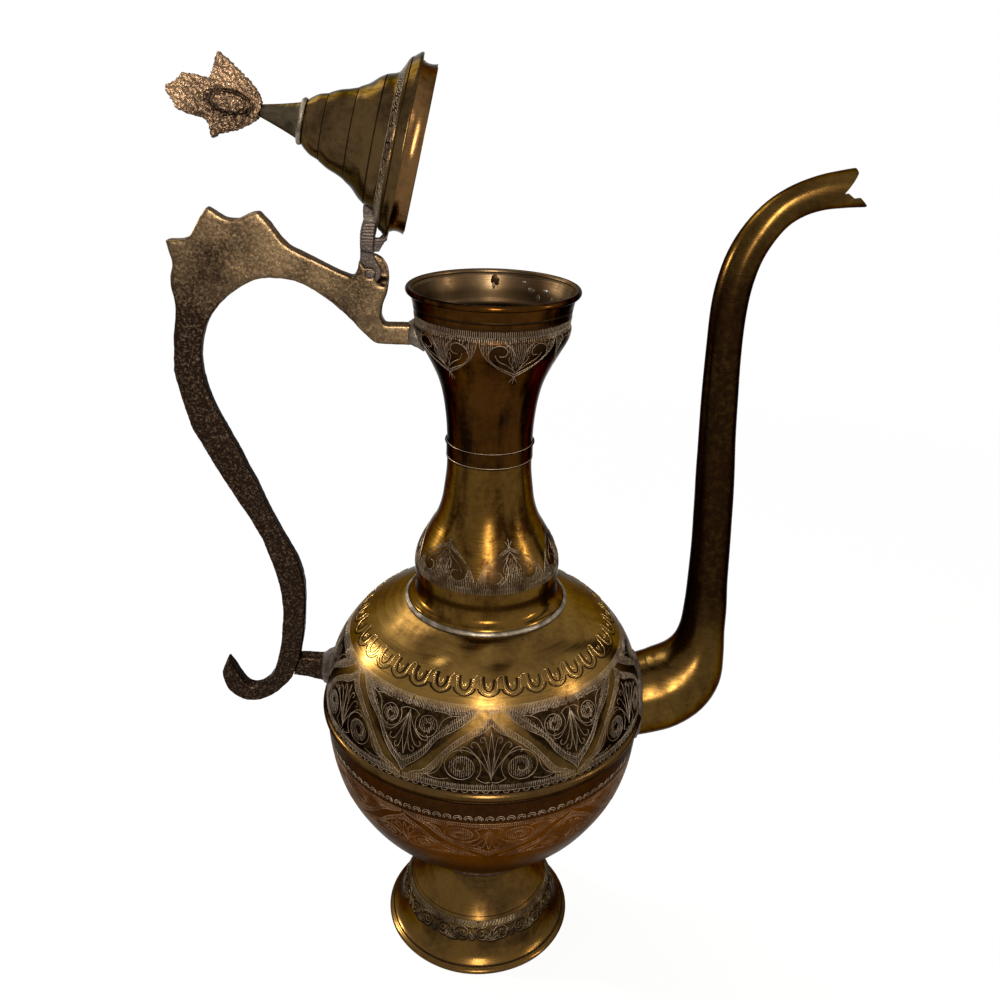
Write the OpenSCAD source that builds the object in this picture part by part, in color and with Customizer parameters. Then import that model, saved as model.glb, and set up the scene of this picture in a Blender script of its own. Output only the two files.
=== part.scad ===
// Brass ewer with a hinged domed lid, a tall bent spout and a flat cast handle.
// Millimetres. +Z is up and +X is the spout's side. The origin is the middle of the foot's underside.

/* [Vessel] */
// Height of the foot, up to its joint with the bowl
foot_h = 41; // [36:0.5:48]
// Height of the lower half of the bowl, from the foot to the belly seam
lower_bowl_h = 77; // [68:1:86]
// Height of the upper half of the bowl, from the belly seam to the neck
upper_bowl_h = 49.5; // [45:0.5:54]
// Height of the lower length of the neck, with its bulb
neck_lower_h = 59; // [52:1:66]
// Height of the upper length of the neck, up to the rim
neck_upper_h = 63.5; // [58:0.5:70]
// Radius of the foot's edge
foot_r = 41; // [37:0.2:46]
// Radius of the foot where it is narrowest
foot_waist_r = 23.2; // [21:0.2:26]
// Radius of the bowl at its belly seam
belly_r = 65; // [60:0.5:70]
// Radius of the neck's bulb
bulb_r = 28.2; // [26.5:0.1:29.5]
// Radius of the neck's waist
waist_r = 15.8; // [14:0.1:18]
// Radius of the rim
rim_r = 31; // [29.5:0.1:32.5]
// Thickness of the spun sheet
sheet_t = 1; // [0.8:0.1:1.3]
// Radius of the rolled bead at the rim
rim_bead_r = 1.1; // [1:0.05:1.3]
// Radius of the half-round band over the belly seam
band_r = 2; // [1.7:0.1:2.4]
// How far that band stands out from the bowl
band_proud = 1.5; // [1.2:0.1:1.6]
// Length by which the two lengths of the neck lap
lap_h = 6.4; // [5:0.2:8]
// Size of the solder fillets round the foot and the neck
fillet = 2; // [1.6:0.1:2.6]

/* [Spout] */
// How far the spout's tip stands out from the bowl
spout_reach = 62.7; // [58:0.5:70]
// Rise of the spout's mouth above the middle of its root
spout_rise = 215; // [205:1:225]
// Radius of the spout's swollen root
spout_root_r = 17.3; // [16.5:0.1:18]
// Radius of the spout's tube at half its height
spout_tube_r = 7.5; // [7:0.1:8.2]
// Depth of the notch between the two jaws of the spout's tip
jaw_depth = 9; // [7:0.2:10]
// Radius of the water hole between the bowl and the spout
water_hole_r = 12; // [10:0.2:14]
// Radius of the bead of solder round the spout's root
root_solder_r = 2; // [1.7:0.1:2.4]

/* [Handle] */
// How far the handle stands out beyond the bowl
handle_out = 47.7; // [42:0.1:54]
// Thickness of the handle's casting
handle_t = 6; // [5:0.1:7]
// Height of the handle's joint with the neck, below the rim
tang_drop = 17; // [15.5:0.1:18.5]
// Height of the strut above the belly seam
strut_up = 14; // [12:0.2:16]
// Height of the strut where it meets the handle
strut_h = 10; // [8.5:0.1:11.5]
// Size of the solder round the handle's two joints
handle_solder = 2.6; // [2:0.1:3.2]

/* [Hinge] */
// Distance from the rim out to the hinge pin
hinge_out = 11.7; // [11:0.1:12.4]
// Height of the hinge pin above the rim
hinge_up = 4; // [3.6:0.1:4.4]
// Angle by which the lid stands open
open_angle = 77.5; // [60:0.5:80]
// Radius of the hinge pin
pin_r = 1.1; // [0.9:0.05:1.3]
// Radial clearance of the lid's arm on the pin
pin_gap = 0.05; // [0.02:0.01:0.08]
// Radius of the arm's knuckle
knuckle_r = 3.8; // [3.5:0.05:4]
// Thickness of the arm's tongue, between the cheeks
tongue_t = 3; // [2.6:0.1:3.4]
// Clearance between the tongue and each cheek
cheek_gap = 0.3; // [0.25:0.05:0.4]
// Thickness of the front cheek
front_cheek_t = 1.7; // [1.4:0.1:2]
// Thickness of the rear cheek
rear_cheek_t = 2.1; // [1.8:0.1:2.5]
// Width of the arm above the tongue
arm_w = 5.2; // [4.6:0.1:6]

/* [Lid] */
// Height of the lid's dome above its brim
dome_h = 34; // [32:0.5:36]
// Radius of the dome's top, under the stem
dome_top_r = 6.4; // [6:0.1:7]
// How far the brim's edge stays inside the rim's edge
brim_inset = 1.5; // [1.2:0.1:1.6]
// Clearance between the brim and the rim when the lid is shut
seat_gap = 0.6; // [0.3:0.05:0.8]
// Depth of the skirt that drops into the mouth
skirt_h = 4.9; // [4.2:0.1:5.4]
// Clearance between the skirt and the inside of the rim's bead
skirt_gap = 1.6; // [1.5:0.1:2.2]
// How far the skirt draws in under the brim
skirt_cove = 0.5; // [0.3:0.1:0.8]
// Height of the conical stem that carries the finial
stem_h = 13.2; // [12:0.2:15]
// Radius of the stem at its top
stem_top_r = 2; // [1.8:0.1:2.4]

/* [Finial] */
// Height of the open hand above the stem
hand_h = 30; // [26:0.2:33]
// Half width of the hand across its thumbs
hand_half_w = 12.5; // [10.5:0.1:13.5]
// Thickness of the hand's casting
hand_t = 3; // [2.6:0.1:3.4]
// Length of the raised oval on the hand
oval_l = 11.6; // [10:0.2:13]
// Width of the raised oval
oval_w = 6; // [5:0.1:7]
// Height of the raised oval above the hand's face
oval_h = 1.4; // [1.1:0.1:1.8]

/* [Hidden] */
$fn = 96;
overrun = 3;

// Heights and places that follow from the sizes above
seam_z = foot_h + lower_bowl_h;
shoulder_z = seam_z + upper_bowl_h;
lap_z = shoulder_z + neck_lower_h;
rim_z = lap_z + neck_upper_h;
mouth_r = rim_r - 2 * rim_bead_r;
throat_r = mouth_r + sheet_t / 2;
lap_gap = 0.05;
bond = 0.15;

// Outlines of the turned pieces, each as [radius, height] shares from the bottom up.
// A radius share runs from the narrower to the wider size that the piece has.
foot_shares = [
    [0.97, 0], [1, 0.022], [0.98, 0.046], [0.91, 0.066], [0.83, 0.093], [0.75, 0.14], [0.695, 0.2],
    [0.655, 0.27], [0.615, 0.34], [0.545, 0.415], [0.425, 0.495], [0.276, 0.585], [0.15, 0.68],
    [0.057, 0.78], [0.006, 0.88], [0.006, 0.95]
];
foot_flare_share = 0.046;
lower_bowl_shares = [
    [0, -0.06], [0.12, -0.057], [0.23, -0.04], [0.31, -0.013], [0.375, 0.023], [0.45, 0.09],
    [0.57, 0.18], [0.68, 0.273], [0.807, 0.403], [0.91, 0.56], [0.965, 0.714], [0.99, 0.87],
    [0.998, 1]
];
upper_bowl_shares = [
    [0.998, 0], [0.994, 0.12], [0.979, 0.26], [0.938, 0.465], [0.86, 0.646], [0.745, 0.81],
    [0.63, 0.9], [0.523, 0.962], [0.43, 0.99], [0.37, 1]
];
neck_lower_shares = [
    [1.24, -0.02], [1.2, 0.01], [1.06, 0.03], [0.975, 0.055], [0.96, 0.11], [0.99, 0.178],
    [1, 0.245], [0.95, 0.32], [0.79, 0.407], [0.524, 0.508], [0.306, 0.593], [0.153, 0.695],
    [0.073, 0.805], [0.016, 0.907], [0, 1]
];
neck_upper_shares = [
    [0.026, 0], [0.026, 0.1], [0.012, 0.11], [0.015, 0.15], [0.045, 0.244], [0.12, 0.362],
    [0.237, 0.465], [0.42, 0.56], [0.65, 0.654], [0.845, 0.732], [0.9, 0.785], [0.86, 0.808],
    [0.89, 0.835], [0.92, 0.89], [0.978, 0.945], [1.01, 0.975]
];
// The dome's outline, from the brim up to the stem, with a small step at each turned ring
dome_shares = [
    [1, 0], [1, 0.024], [0.935, 0.076], [0.883, 0.118], [0.78, 0.15], [0.688, 0.185], [0.65, 0.226],
    [0.615, 0.29], [0.554, 0.356], [0.442, 0.438], [0.372, 0.515], [0.352, 0.53], [0.303, 0.612],
    [0.26, 0.7], [0.198, 0.78], [0.18, 0.793], [0.139, 0.876], [0.082, 0.935], [0.026, 0.976], [0, 1]
];
// The skirt's outline from its lower edge up, as [share of the cove, share of the depth]
skirt_shares = [[1, -1], [0.78, -0.92], [0.22, -0.73], [0, -0.51], [0.22, -0.3], [1, -0.12], [1.6, 0]];
stem_shares = [[1, 0], [0.78, 0.18], [0.5, 0.45], [0.22, 0.75], [0, 1]];

// The spout's centre line as shares of its reach and rise, with each radius as a share of
// the root's radius, and further up as a share of the tube's radius.
spout_root_shares = [
    [-0.144, -0.006, 0.96], [-0.048, -0.003, 0.98], [0.048, 0.004, 0.995], [0.16, 0.015, 1],
    [0.265, 0.038, 0.96], [0.338, 0.069, 0.845], [0.38, 0.109, 0.65], [0.395, 0.151, 0.535]
];
spout_tube_shares = [
    [0.397, 0.198, 1.14], [0.39, 0.253, 1.067], [0.38, 0.323, 1.02], [0.367, 0.407, 1],
    [0.351, 0.472, 0.973], [0.335, 0.537, 0.933], [0.319, 0.616, 0.9], [0.308, 0.691, 0.86],
    [0.305, 0.756, 0.853], [0.319, 0.807, 0.847], [0.359, 0.855, 0.827], [0.424, 0.893, 0.8],
    [0.514, 0.925, 0.767], [0.622, 0.946, 0.755], [0.742, 0.959, 0.785], [0.853, 0.965, 0.83],
    [0.933, 0.968, 0.87], [1.013, 0.97, 0.9]
];
// The jaws of the tip as [depth share back from the tip, height share of the tube's radius]
jaw_shares = [[0.62, 1.4], [0.65, 0.62], [1.16, -0.25], [0.78, -0.47], [0.5, -0.42], [0.1, -0.8], [0.05, -1.4]];
spout_sides = 24;

// The handle's outline as [outward share of the reach, height share from strut to tang]
handle_outer_shares = [
    [0.999, 0.9], [0.948, 0.745], [0.781, 0.536], [0.694, 0.428], [0.637, 0.298], [0.623, 0.213],
    [0.64, 0.106], [0.671, 0.021], [0.713, -0.033], [0.772, -0.055], [0.819, -0.045], [0.86, 0.003],
    [0.897, 0.04]
];
handle_hook_shares = [
    [0.933, -0.006], [0.91, -0.06], [0.842, -0.098], [0.754, -0.099], [0.667, -0.069], [0.6, -0.022]
];
handle_inner_shares = [
    [0.557, 0.045], [0.529, 0.142], [0.516, 0.234], [0.522, 0.319], [0.573, 0.404], [0.632, 0.482],
    [0.702, 0.596], [0.777, 0.702], [0.85, 0.809], [0.884, 0.887], [0.873, 0.973], [0.827, 1.039],
    [0.743, 1.092], [0.637, 1.13], [0.539, 1.134], [0.444, 1.118], [0.339, 1.077], [0.251, 1.027],
    [0.178, 0.98], [0.117, 0.972], [-0.06, 0.973]
];
// The crest's points, from the arm by the hinge round to the back of the handle
handle_crest_shares = [
    [-0.06, 1.023], [0.128, 1.022], [0.2, 1.15], [0.248, 1.139], [0.299, 1.151], [0.377, 1.174],
    [0.454, 1.196], [0.492, 1.207], [0.529, 1.228], [0.571, 1.265], [0.608, 1.289], [0.637, 1.286],
    [0.692, 1.27], [0.742, 1.274], [0.804, 1.299], [0.834, 1.273], [0.882, 1.229], [0.92, 1.221],
    [0.975, 1.22], [0.966, 1.191], [0.957, 1.166], [0.969, 1.138], [0.974, 1.113], [0.966, 1.085],
    [0.963, 1.06], [0.982, 0.993]
];
// The lug's outline round the pin, as shares of the knuckle's radius
lug_shares = [
    [-1.42, -0.3], [-1.1, 0.45], [-0.98, 1.25], [-0.35, 1.62], [0.5, 1.62], [1.12, 1.25], [1.6, 0.5],
    [1.7, -0.5], [1.54, -1.65], [1.08, -2.85], [0.9, -4], [-2, -4.1], [-2.6, -1.4]
];
// What a slanting saw cut takes off the front cheek
cheek_cut_shares = [[-1.6, 2.1], [0.1, 0], [0.75, -0.95], [2, -1.15], [2, 2.1]];

// The arm of the lid as it lies when shut, as [share of its reach, share of the knuckle's radius]
arm_top_shares = [
    [-0.02, 1], [0.1, 1.04], [0.23, 1.17], [0.36, 1.3], [0.51, 1.4], [0.7, 1.42], [0.84, 1.3],
    [0.98, 1.02], [1.06, 0.75]
];
arm_under_shares = [
    [1.06, 0.4], [0.83, 0.36], [0.66, 0.32], [0.47, 0.22], [0.32, 0.05], [0.23, -0.2], [0.14, -0.66]
];
// The thin web under the arm, which steadies the brim's edge
arm_web_shares = [[0.34, 0.12], [0.36, -0.41], [0.515, -0.62], [0.6, -0.86], [0.66, -0.6], [0.58, -0.28], [0.555, 0.26]];

// The collar of solder at the arm's end
arm_solder_shares = [[0.8, 0.2], [0.8, 1.4], [0.86, 1.56], [0.95, 1.66], [1.2, 1.7], [1.2, -0.1], [0.9, 0]];

// The open hand, as [half width share, height share], right side up and then down the left
hand_shares = [
    [0.16, 0], [0.37, 0.04], [0.61, 0.15], [0.79, 0.27], [0.96, 0.38], [1.13, 0.52], [0.66, 0.55],
    [0.48, 0.57], [0.44, 0.6], [0.45, 0.72], [0.41, 0.87], [0.27, 0.885], [0.16, 0.93], [0.06, 0.99],
    [-0.04, 1], [-0.17, 0.97], [-0.27, 0.92], [-0.4, 0.89], [-0.46, 0.84], [-0.51, 0.72],
    [-0.5, 0.6], [-0.52, 0.56], [-0.63, 0.52], [-0.95, 0.47], [-0.78, 0.38], [-0.69, 0.29],
    [-0.55, 0.18], [-0.3, 0.05], [-0.14, 0]
];
oval_up_share = 0.34;

// Basic functions
function between(a, b, share) = a + share * (b - a);
function last(list) = list[len(list) - 1];
function backwards(list) = [for (i = [len(list) - 1 : -1 : 0]) list[i]];
function spread(shares, x0, x1, y0, y1) = [for (q = shares) [between(x0, x1, q[0]), between(y0, y1, q[1])]];
function curve_point(a, b, c, d, t) =
    (2 * b + (c - a) * t + (2 * a - 5 * b + 4 * c - d) * t * t + (3 * b - a - 3 * c + d) * t * t * t) / 2;
function smooth(p, steps) = concat(
    [for (i = [0 : len(p) - 2], k = [0 : steps - 1])
        curve_point(p[max(i - 1, 0)], p[i], p[i + 1], p[min(i + 2, len(p) - 1)], k / steps)],
    [last(p)]
);
function along(p, i) = let (d = p[min(i + 1, len(p) - 1)] - p[max(i - 1, 0)]) d / norm(d);
function inner_side(p, i) = let (d = along(p, i)) [-d[1], d[0]];
// The inside of a sheet whose outside is p. The sheet's two edges face the way first and final say.
function inside_of(p, wall, first = [-1, 0], final = [-1, 0]) = [
    for (i = [0 : len(p) - 1])
        let (way = i == 0 ? first : i == len(p) - 1 ? final : inner_side(p, i), q = p[i] + wall * way)
            [max(0, q[0]), q[1]]
];
function sheet(p, wall, first = [-1, 0], final = [-1, 0]) = concat(p, backwards(inside_of(p, wall, first, final)));
// Distance out where the curve p has the given height, and height where it has the given distance
function x_at(p, z) = lookup(z, [for (q = p) [q[1], q[0]]]);
function z_at(p, x) = lookup(x, p);

// Outer curves of the turned pieces
lower_bowl_curve = smooth(spread(lower_bowl_shares, 0, belly_r, foot_h, seam_z), 3);
foot_top = [between(foot_waist_r, foot_r, foot_flare_share), z_at(lower_bowl_curve, foot_waist_r)];
foot_curve = smooth(concat(spread(foot_shares, foot_waist_r, foot_r, 0, foot_h), [foot_top]), 2);
upper_bowl_curve = smooth(spread(upper_bowl_shares, 0, belly_r, seam_z, shoulder_z), 3);
neck_lower_curve = smooth(spread(neck_lower_shares, waist_r, bulb_r, shoulder_z, lap_z), 3);
neck_upper_curve = smooth(spread(neck_upper_shares, waist_r, throat_r, lap_z, rim_z), 3);

// Everything inside the bowl's outer face, as a half section, with its face moved out by grow
module bowl_section(grow = 0) {
    outline = concat(lower_bowl_curve, upper_bowl_curve);
    polygon(concat([for (q = outline) q[0] > 0 ? q + [grow, 0] : q], [[0, last(outline)[1]]]));
}

module bowl_core(grow = 0) {
    rotate_extrude() bowl_section(grow);
}

module neck_core(grow = 0) {
    rotate_extrude()
        polygon(concat(
            [[0, neck_upper_curve[0][1]]],
            [for (q = neck_upper_curve) q + [grow, 0]],
            [[0, last(neck_upper_curve)[1]]]
        ));
}

module foot() {
    color("darkgoldenrod")
    rotate_extrude()
    difference() {
        polygon(sheet(foot_curve, sheet_t));
        bowl_section();
    }
}

// Fillet of solder in the corner between the bowl's underside and the foot
module foot_solder() {
    color("dimgray")
    rotate_extrude()
    difference() {
        translate(last(foot_curve) - [0, 0.3 * fillet]) circle(r = 0.6 * fillet, $fn = 48);
        bowl_section();
        polygon(concat([[0, 0]], foot_curve, [[0, last(foot_curve)[1]]]));
    }
}

// Round hole that lets the water from the bowl into the spout
module water_hole() {
    translate([belly_r / 2, 0, spout_root_z])
        rotate([0, 90, 0])
            cylinder(r = water_hole_r, h = belly_r);
}

module lower_bowl() {
    color("peru")
    difference() {
        rotate_extrude() polygon(sheet(lower_bowl_curve, sheet_t, [0, 1]));
        water_hole();
    }
}

module upper_bowl() {
    color("goldenrod")
    difference() {
        rotate_extrude() polygon(sheet(upper_bowl_curve, sheet_t, [-1, 0], [0, -1]));
        water_hole();
    }
}

// Half-round wire soldered over the seam between the two halves of the bowl
module belly_band() {
    seam_r = lower_bowl_shares[len(lower_bowl_shares) - 1][0] * belly_r;
    color("darkgoldenrod")
    difference() {
        rotate_extrude()
        difference() {
            translate([seam_r + band_proud - band_r, seam_z + band_r / 2]) circle(r = band_r, $fn = 48);
            bowl_section();
        }
        translate([0, 0, spout_root_z])
            rotate([0, 90, 0])
                cylinder(r = spout_root_r + root_solder_r, h = 2 * belly_r);
    }
}

module neck_lower() {
    spigot_r = x_at(neck_upper_curve, lap_z) - sheet_t - lap_gap;
    color("goldenrod")
    rotate_extrude()
    difference() {
        union() {
            polygon(sheet(neck_lower_curve, sheet_t));
            translate([spigot_r - sheet_t, lap_z - lap_h / 3]) square([sheet_t, lap_h * 4 / 3 - lap_gap]);
        }
        bowl_section();
    }
}

// Fillet of solder between the neck's flange and the shoulder
module neck_solder() {
    flange_r = neck_lower_curve[0][0];
    color("silver")
    rotate_extrude()
    difference() {
        translate([flange_r - fillet / 6, z_at(backwards(upper_bowl_curve), flange_r)])
            circle(r = fillet * 0.75, $fn = 48);
        bowl_section();
        polygon(concat(neck_lower_curve, [[0, lap_z], [0, seam_z]]));
        translate([0, seam_z]) square([flange_r - fillet / 2, lap_z - seam_z]);
    }
}

module neck_upper() {
    color("darkgoldenrod")
    rotate_extrude()
    union() {
        polygon(sheet(neck_upper_curve, sheet_t));
        translate([rim_r - rim_bead_r, rim_z - rim_bead_r]) circle(r = rim_bead_r, $fn = 48);
    }
}

// The spout: a swept tube that swells at its root and turns out at its tip
spout_root_z = seam_z - 0.5 * sheet_t;
spout_stations = concat(
    [for (q = spout_root_shares) [belly_r + q[0] * spout_reach, spout_root_z + q[1] * spout_rise, q[2] * spout_root_r]],
    [for (q = spout_tube_shares) [belly_r + q[0] * spout_reach, spout_root_z + q[1] * spout_rise, q[2] * spout_tube_r]]
);
spout_line = smooth(spout_stations, 2);

function ring(q, way, radius, sides) = [
    for (k = [0 : sides - 1])
        let (a = 360 * k / sides)
            [q[0] - way[1] * radius * cos(a), radius * sin(a), q[1] + way[0] * radius * cos(a)]
];

// Hollow tube along a line in the XZ plane, whose points are [x, z, radius]
module swept_tube(line, wall, sides) {
    flat_line = [for (q = line) [q[0], q[1]]];
    count = len(line);
    outer = [for (i = [0 : count - 1]) each ring(line[i], along(flat_line, i), line[i][2], sides)];
    inner = [for (i = [0 : count - 1]) each ring(line[i], along(flat_line, i), line[i][2] - wall, sides)];
    shift = count * sides;
    walls = [
        for (i = [0 : count - 2], k = [0 : sides - 1])
            let (n = (k + 1) % sides, a = i * sides + k, b = i * sides + n, c = b + sides, d = a + sides)
                each [[a, b, c], [a, c, d], [shift + a, shift + c, shift + b], [shift + a, shift + d, shift + c]]
    ];
    top = (count - 1) * sides;
    ends = [
        for (k = [0 : sides - 1])
            let (n = (k + 1) % sides)
                each [
                    [k, shift + k, shift + n], [k, shift + n, n],
                    [top + k, top + n, shift + top + n], [top + k, shift + top + n, shift + top + k]
                ]
    ];
    polyhedron(points = concat(outer, inner), faces = concat(walls, ends), convexity = 8);
}

module spout() {
    tip_x = belly_r + spout_reach;
    tip_z = last(spout_line)[1];
    jaws = [for (q = jaw_shares) [tip_x - q[0] * jaw_depth, tip_z + q[1] * spout_tube_r]];
    color("darkgoldenrod")
    difference() {
        swept_tube(spout_line, sheet_t, spout_sides);
        bowl_core(bond);
        rotate([90, 0, 0])
            translate([0, 0, -2 * spout_tube_r])
                linear_extrude(4 * spout_tube_r)
                    polygon(concat(jaws, [
                        [tip_x + spout_reach, tip_z - 2 * spout_tube_r],
                        [tip_x + spout_reach, tip_z + 2 * spout_tube_r],
                        [jaws[0][0], tip_z + 2 * spout_tube_r]
                    ]));
    }
}

// Fillet of solder round the root of the spout
module spout_solder() {
    seat_x = sqrt(pow(belly_r, 2) - pow(spout_root_r, 2));
    sides = 96;
    color("dimgray")
    difference() {
        translate([seat_x, 0, spout_root_z])
            rotate([0, 90, 0])
                rotate_extrude($fn = 2 * sides)
                    polygon([
                        [spout_root_r - bond, -root_solder_r], [spout_root_r + root_solder_r, -root_solder_r],
                        [spout_root_r + root_solder_r * 0.7, root_solder_r * 0.5],
                        [spout_root_r - bond, root_solder_r]
                    ]);
        bowl_core($fn = 2 * sides);
    }
}

// The handle's places: its joint with the neck, the strut's joint with the bowl, and the pin
tang_z = rim_z - tang_drop;
tang_x = -x_at(neck_upper_curve, tang_z);
handle_reach = belly_r + handle_out + tang_x;
strut_z = seam_z + strut_up;
pin_x = -(rim_r + hinge_out);
pin_z = rim_z + hinge_up;
slot_t = tongue_t + 2 * cheek_gap;
lug_t = slot_t + front_cheek_t + rear_cheek_t;
slot_r = knuckle_r + 1.5 * cheek_gap;
// Middle of the lug's slot: the cheeks differ, so it lies off the middle of the lug
slot_y = (front_cheek_t - rear_cheek_t) / 2;
handle_points = concat(
    smooth(spread(handle_outer_shares, tang_x, tang_x - handle_reach, strut_z, tang_z), 2),
    smooth(spread(handle_hook_shares, tang_x, tang_x - handle_reach, strut_z, tang_z), 2),
    smooth(spread(handle_inner_shares, tang_x, tang_x - handle_reach, strut_z, tang_z), 2),
    spread(handle_crest_shares, tang_x, tang_x - handle_reach, strut_z, tang_z)
);

// A shape drawn in x and z, given a thickness along y about the plane at mid_y
module plate(points, thickness, mid_y = 0) {
    translate([0, mid_y + thickness / 2, 0])
        rotate([90, 0, 0])
            linear_extrude(thickness)
                polygon(points);
}

module pin_shape(radius, length, mid_y = 0) {
    translate([pin_x, mid_y + length / 2, pin_z])
        rotate([90, 0, 0])
            cylinder(r = radius, h = length);
}

function round_pin(shares) = [for (q = shares) [pin_x, pin_z] + knuckle_r * q];

// The room in the lug that the arm's tongue turns in, open above and towards the mouth
module lug_slot() {
    pin_shape(slot_r, slot_t, slot_y);
    plate([
        [pin_x - slot_r, pin_z], [pin_x - slot_r, pin_z + 3 * slot_r],
        [pin_x + 3 * slot_r, pin_z + 3 * slot_r], [pin_x + 3 * slot_r, pin_z - slot_r / 2],
        [pin_x + slot_r / 2, pin_z - slot_r / 2]
    ], slot_t, slot_y);
}

// What the slanting saw cut takes off the front cheek, clear of the boss round the pin
module cheek_cut() {
    difference() {
        plate(round_pin(cheek_cut_shares), front_cheek_t + overrun, -(lug_t - front_cheek_t + overrun) / 2);
        pin_shape(2 * pin_r, 2 * lug_t);
    }
}

module handle() {
    color("saddlebrown")
    difference() {
        union() {
            plate(handle_points, handle_t);
            plate(round_pin(lug_shares), lug_t);
        }
        lug_slot();
        cheek_cut();
        pin_shape(pin_r, lug_t + 2 * overrun);
        neck_core(bond);
    }
}

// Short bar between the handle and the bowl, with a spread foot
hook_end = last(spread(handle_hook_shares, tang_x, tang_x - handle_reach, strut_z, tang_z));
strut_top = spread(handle_inner_shares, tang_x, tang_x - handle_reach, strut_z, tang_z)[0];
strut_points = [
    strut_top, [between(strut_top[0], -belly_r, 0.8), strut_z + 0.56 * strut_h],
    [-0.9 * belly_r, strut_z + 0.58 * strut_h], [-0.9 * belly_r, strut_z - 0.6 * strut_h],
    [-belly_r, strut_z - 0.52 * strut_h], [between(strut_top[0], -belly_r, 0.4), strut_z - 0.3 * strut_h],
    strut_top + 0.85 * (hook_end - strut_top)
];

module handle_strut() {
    color("saddlebrown")
    difference() {
        plate(strut_points, handle_t);
        bowl_core(bond);
    }
}

// Collar of solder round a joint whose bar runs out along -X from the given place
module solder_collar(x, z, radius) {
    translate([x, 0, z])
        rotate([0, -90, 0])
            translate([0, 0, -overrun])
                cylinder(r1 = radius + overrun / 2, r2 = radius - handle_solder / 2, h = handle_solder + overrun);
}

module handle_top_solder() {
    color("silver")
    difference() {
        solder_collar(tang_x, tang_z, 0.87 * handle_t);
        neck_core();
        plate(handle_points, handle_t);
    }
}

module handle_strut_solder() {
    joint_x = -x_at(upper_bowl_curve, strut_z);
    sides = 96;
    color("dimgray")
    difference() {
        solder_collar(joint_x, strut_z, 0.75 * strut_h, $fn = 2 * sides);
        bowl_core($fn = 2 * sides);
        plate(strut_points, handle_t);
    }
}

// Rivet through both cheeks and the arm's knuckle, with a low head at each end
module hinge_pin() {
    head_t = pin_r / 2;
    color("dimgray") {
        pin_shape(pin_r, lug_t);
        for (side = [-1, 1])
            pin_shape(1.6 * pin_r, head_t, side * (lug_t + head_t) / 2);
    }
}

// The lid's pieces are drawn as they lie when shut, then turned open about the pin
brim_r = rim_r - brim_inset;
brim_z = rim_z + seat_gap;
stem_z = brim_z + dome_h;
hand_z = stem_z + stem_h;
skirt_r = mouth_r - skirt_gap;
dome_curve = smooth(spread(dome_shares, dome_top_r, brim_r, brim_z, stem_z), 3);
skirt_curve = smooth(spread(skirt_shares, skirt_r - skirt_cove, skirt_r, brim_z, brim_z + skirt_h), 3);
stem_curve = smooth(spread(stem_shares, stem_top_r, dome_top_r - sheet_t / 4, stem_z, hand_z), 3);
arm_z = pin_z + knuckle_r;
arm_l = -pin_x - x_at(dome_curve, arm_z);

module on_lid() {
    translate([pin_x, 0, pin_z])
        rotate([0, -open_angle, 0])
            translate([-pin_x, 0, -pin_z])
                children();
}

module dome_core() {
    rotate_extrude() polygon(concat([[0, brim_z]], dome_curve, [[0, stem_z]]));
}

module lid_dome() {
    color("goldenrod")
    on_lid() rotate_extrude() polygon(sheet(dome_curve, sheet_t));
}

// Drawn ring under the brim that drops into the mouth and centres the lid
module lid_skirt() {
    top_r = last(skirt_curve)[0];
    color("darkgoldenrod")
    on_lid()
    rotate_extrude()
    difference() {
        union() {
            polygon(sheet(skirt_curve, sheet_t));
            translate([top_r - sheet_t, brim_z]) square([brim_r - top_r, sheet_t * 0.8]);
        }
        polygon(sheet(dome_curve, sheet_t));
    }
}

function along_arm(shares) = [for (q = shares) [pin_x + q[0] * arm_l, pin_z + q[1] * knuckle_r]];

arm_points = concat(smooth(along_arm(arm_top_shares), 2), smooth(along_arm(arm_under_shares), 2));

module lid_arm() {
    color("dimgray")
    on_lid()
    difference() {
        union() {
            plate(arm_points, tongue_t, slot_y);
            pin_shape(knuckle_r, tongue_t, slot_y);
            plate(along_arm(arm_web_shares), tongue_t / 2);
            intersection() {
                plate(arm_points, arm_w);
                translate([pin_x + 1.85 * knuckle_r, -arm_w, pin_z - arm_l]) cube(2 * arm_l);
            }
        }
        pin_shape(pin_r + pin_gap, 2 * arm_w);
        dome_core();
    }
}

// Collar of solder between the arm's end and the dome
module lid_arm_solder() {
    color("silver")
    on_lid()
    difference() {
        plate(along_arm(arm_solder_shares), 1.25 * arm_w);
        dome_core();
        plate(arm_points, arm_w);
    }
}

module lid_stem() {
    color("darkgoldenrod")
    on_lid()
    rotate_extrude()
        polygon(concat(stem_curve, [[0, hand_z], [0, between(stem_z, hand_z, 0.6)]], [
            [stem_curve[0][0] - sheet_t, stem_z]
        ]));
}

// Ring of solder in the corner between the stem and the dome
module stem_solder() {
    ring_r = sheet_t;
    color("silver")
    on_lid()
    rotate_extrude()
    difference() {
        translate([dome_top_r, stem_z]) circle(r = ring_r, $fn = 48);
        polygon(concat([[0, brim_z]], dome_curve, [[0, stem_z]]));
        polygon(concat([[0, brim_z], [stem_curve[0][0], brim_z]], stem_curve, [[0, hand_z]]));
        translate([0, stem_z - 2 * ring_r]) square([stem_curve[0][0], 2 * ring_r]);
    }
}

function oval(length, width, count = 40) = [for (i = [0 : count - 1]) [width * cos(360 * i / count), length * sin(360 * i / count)] / 2];

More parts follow.
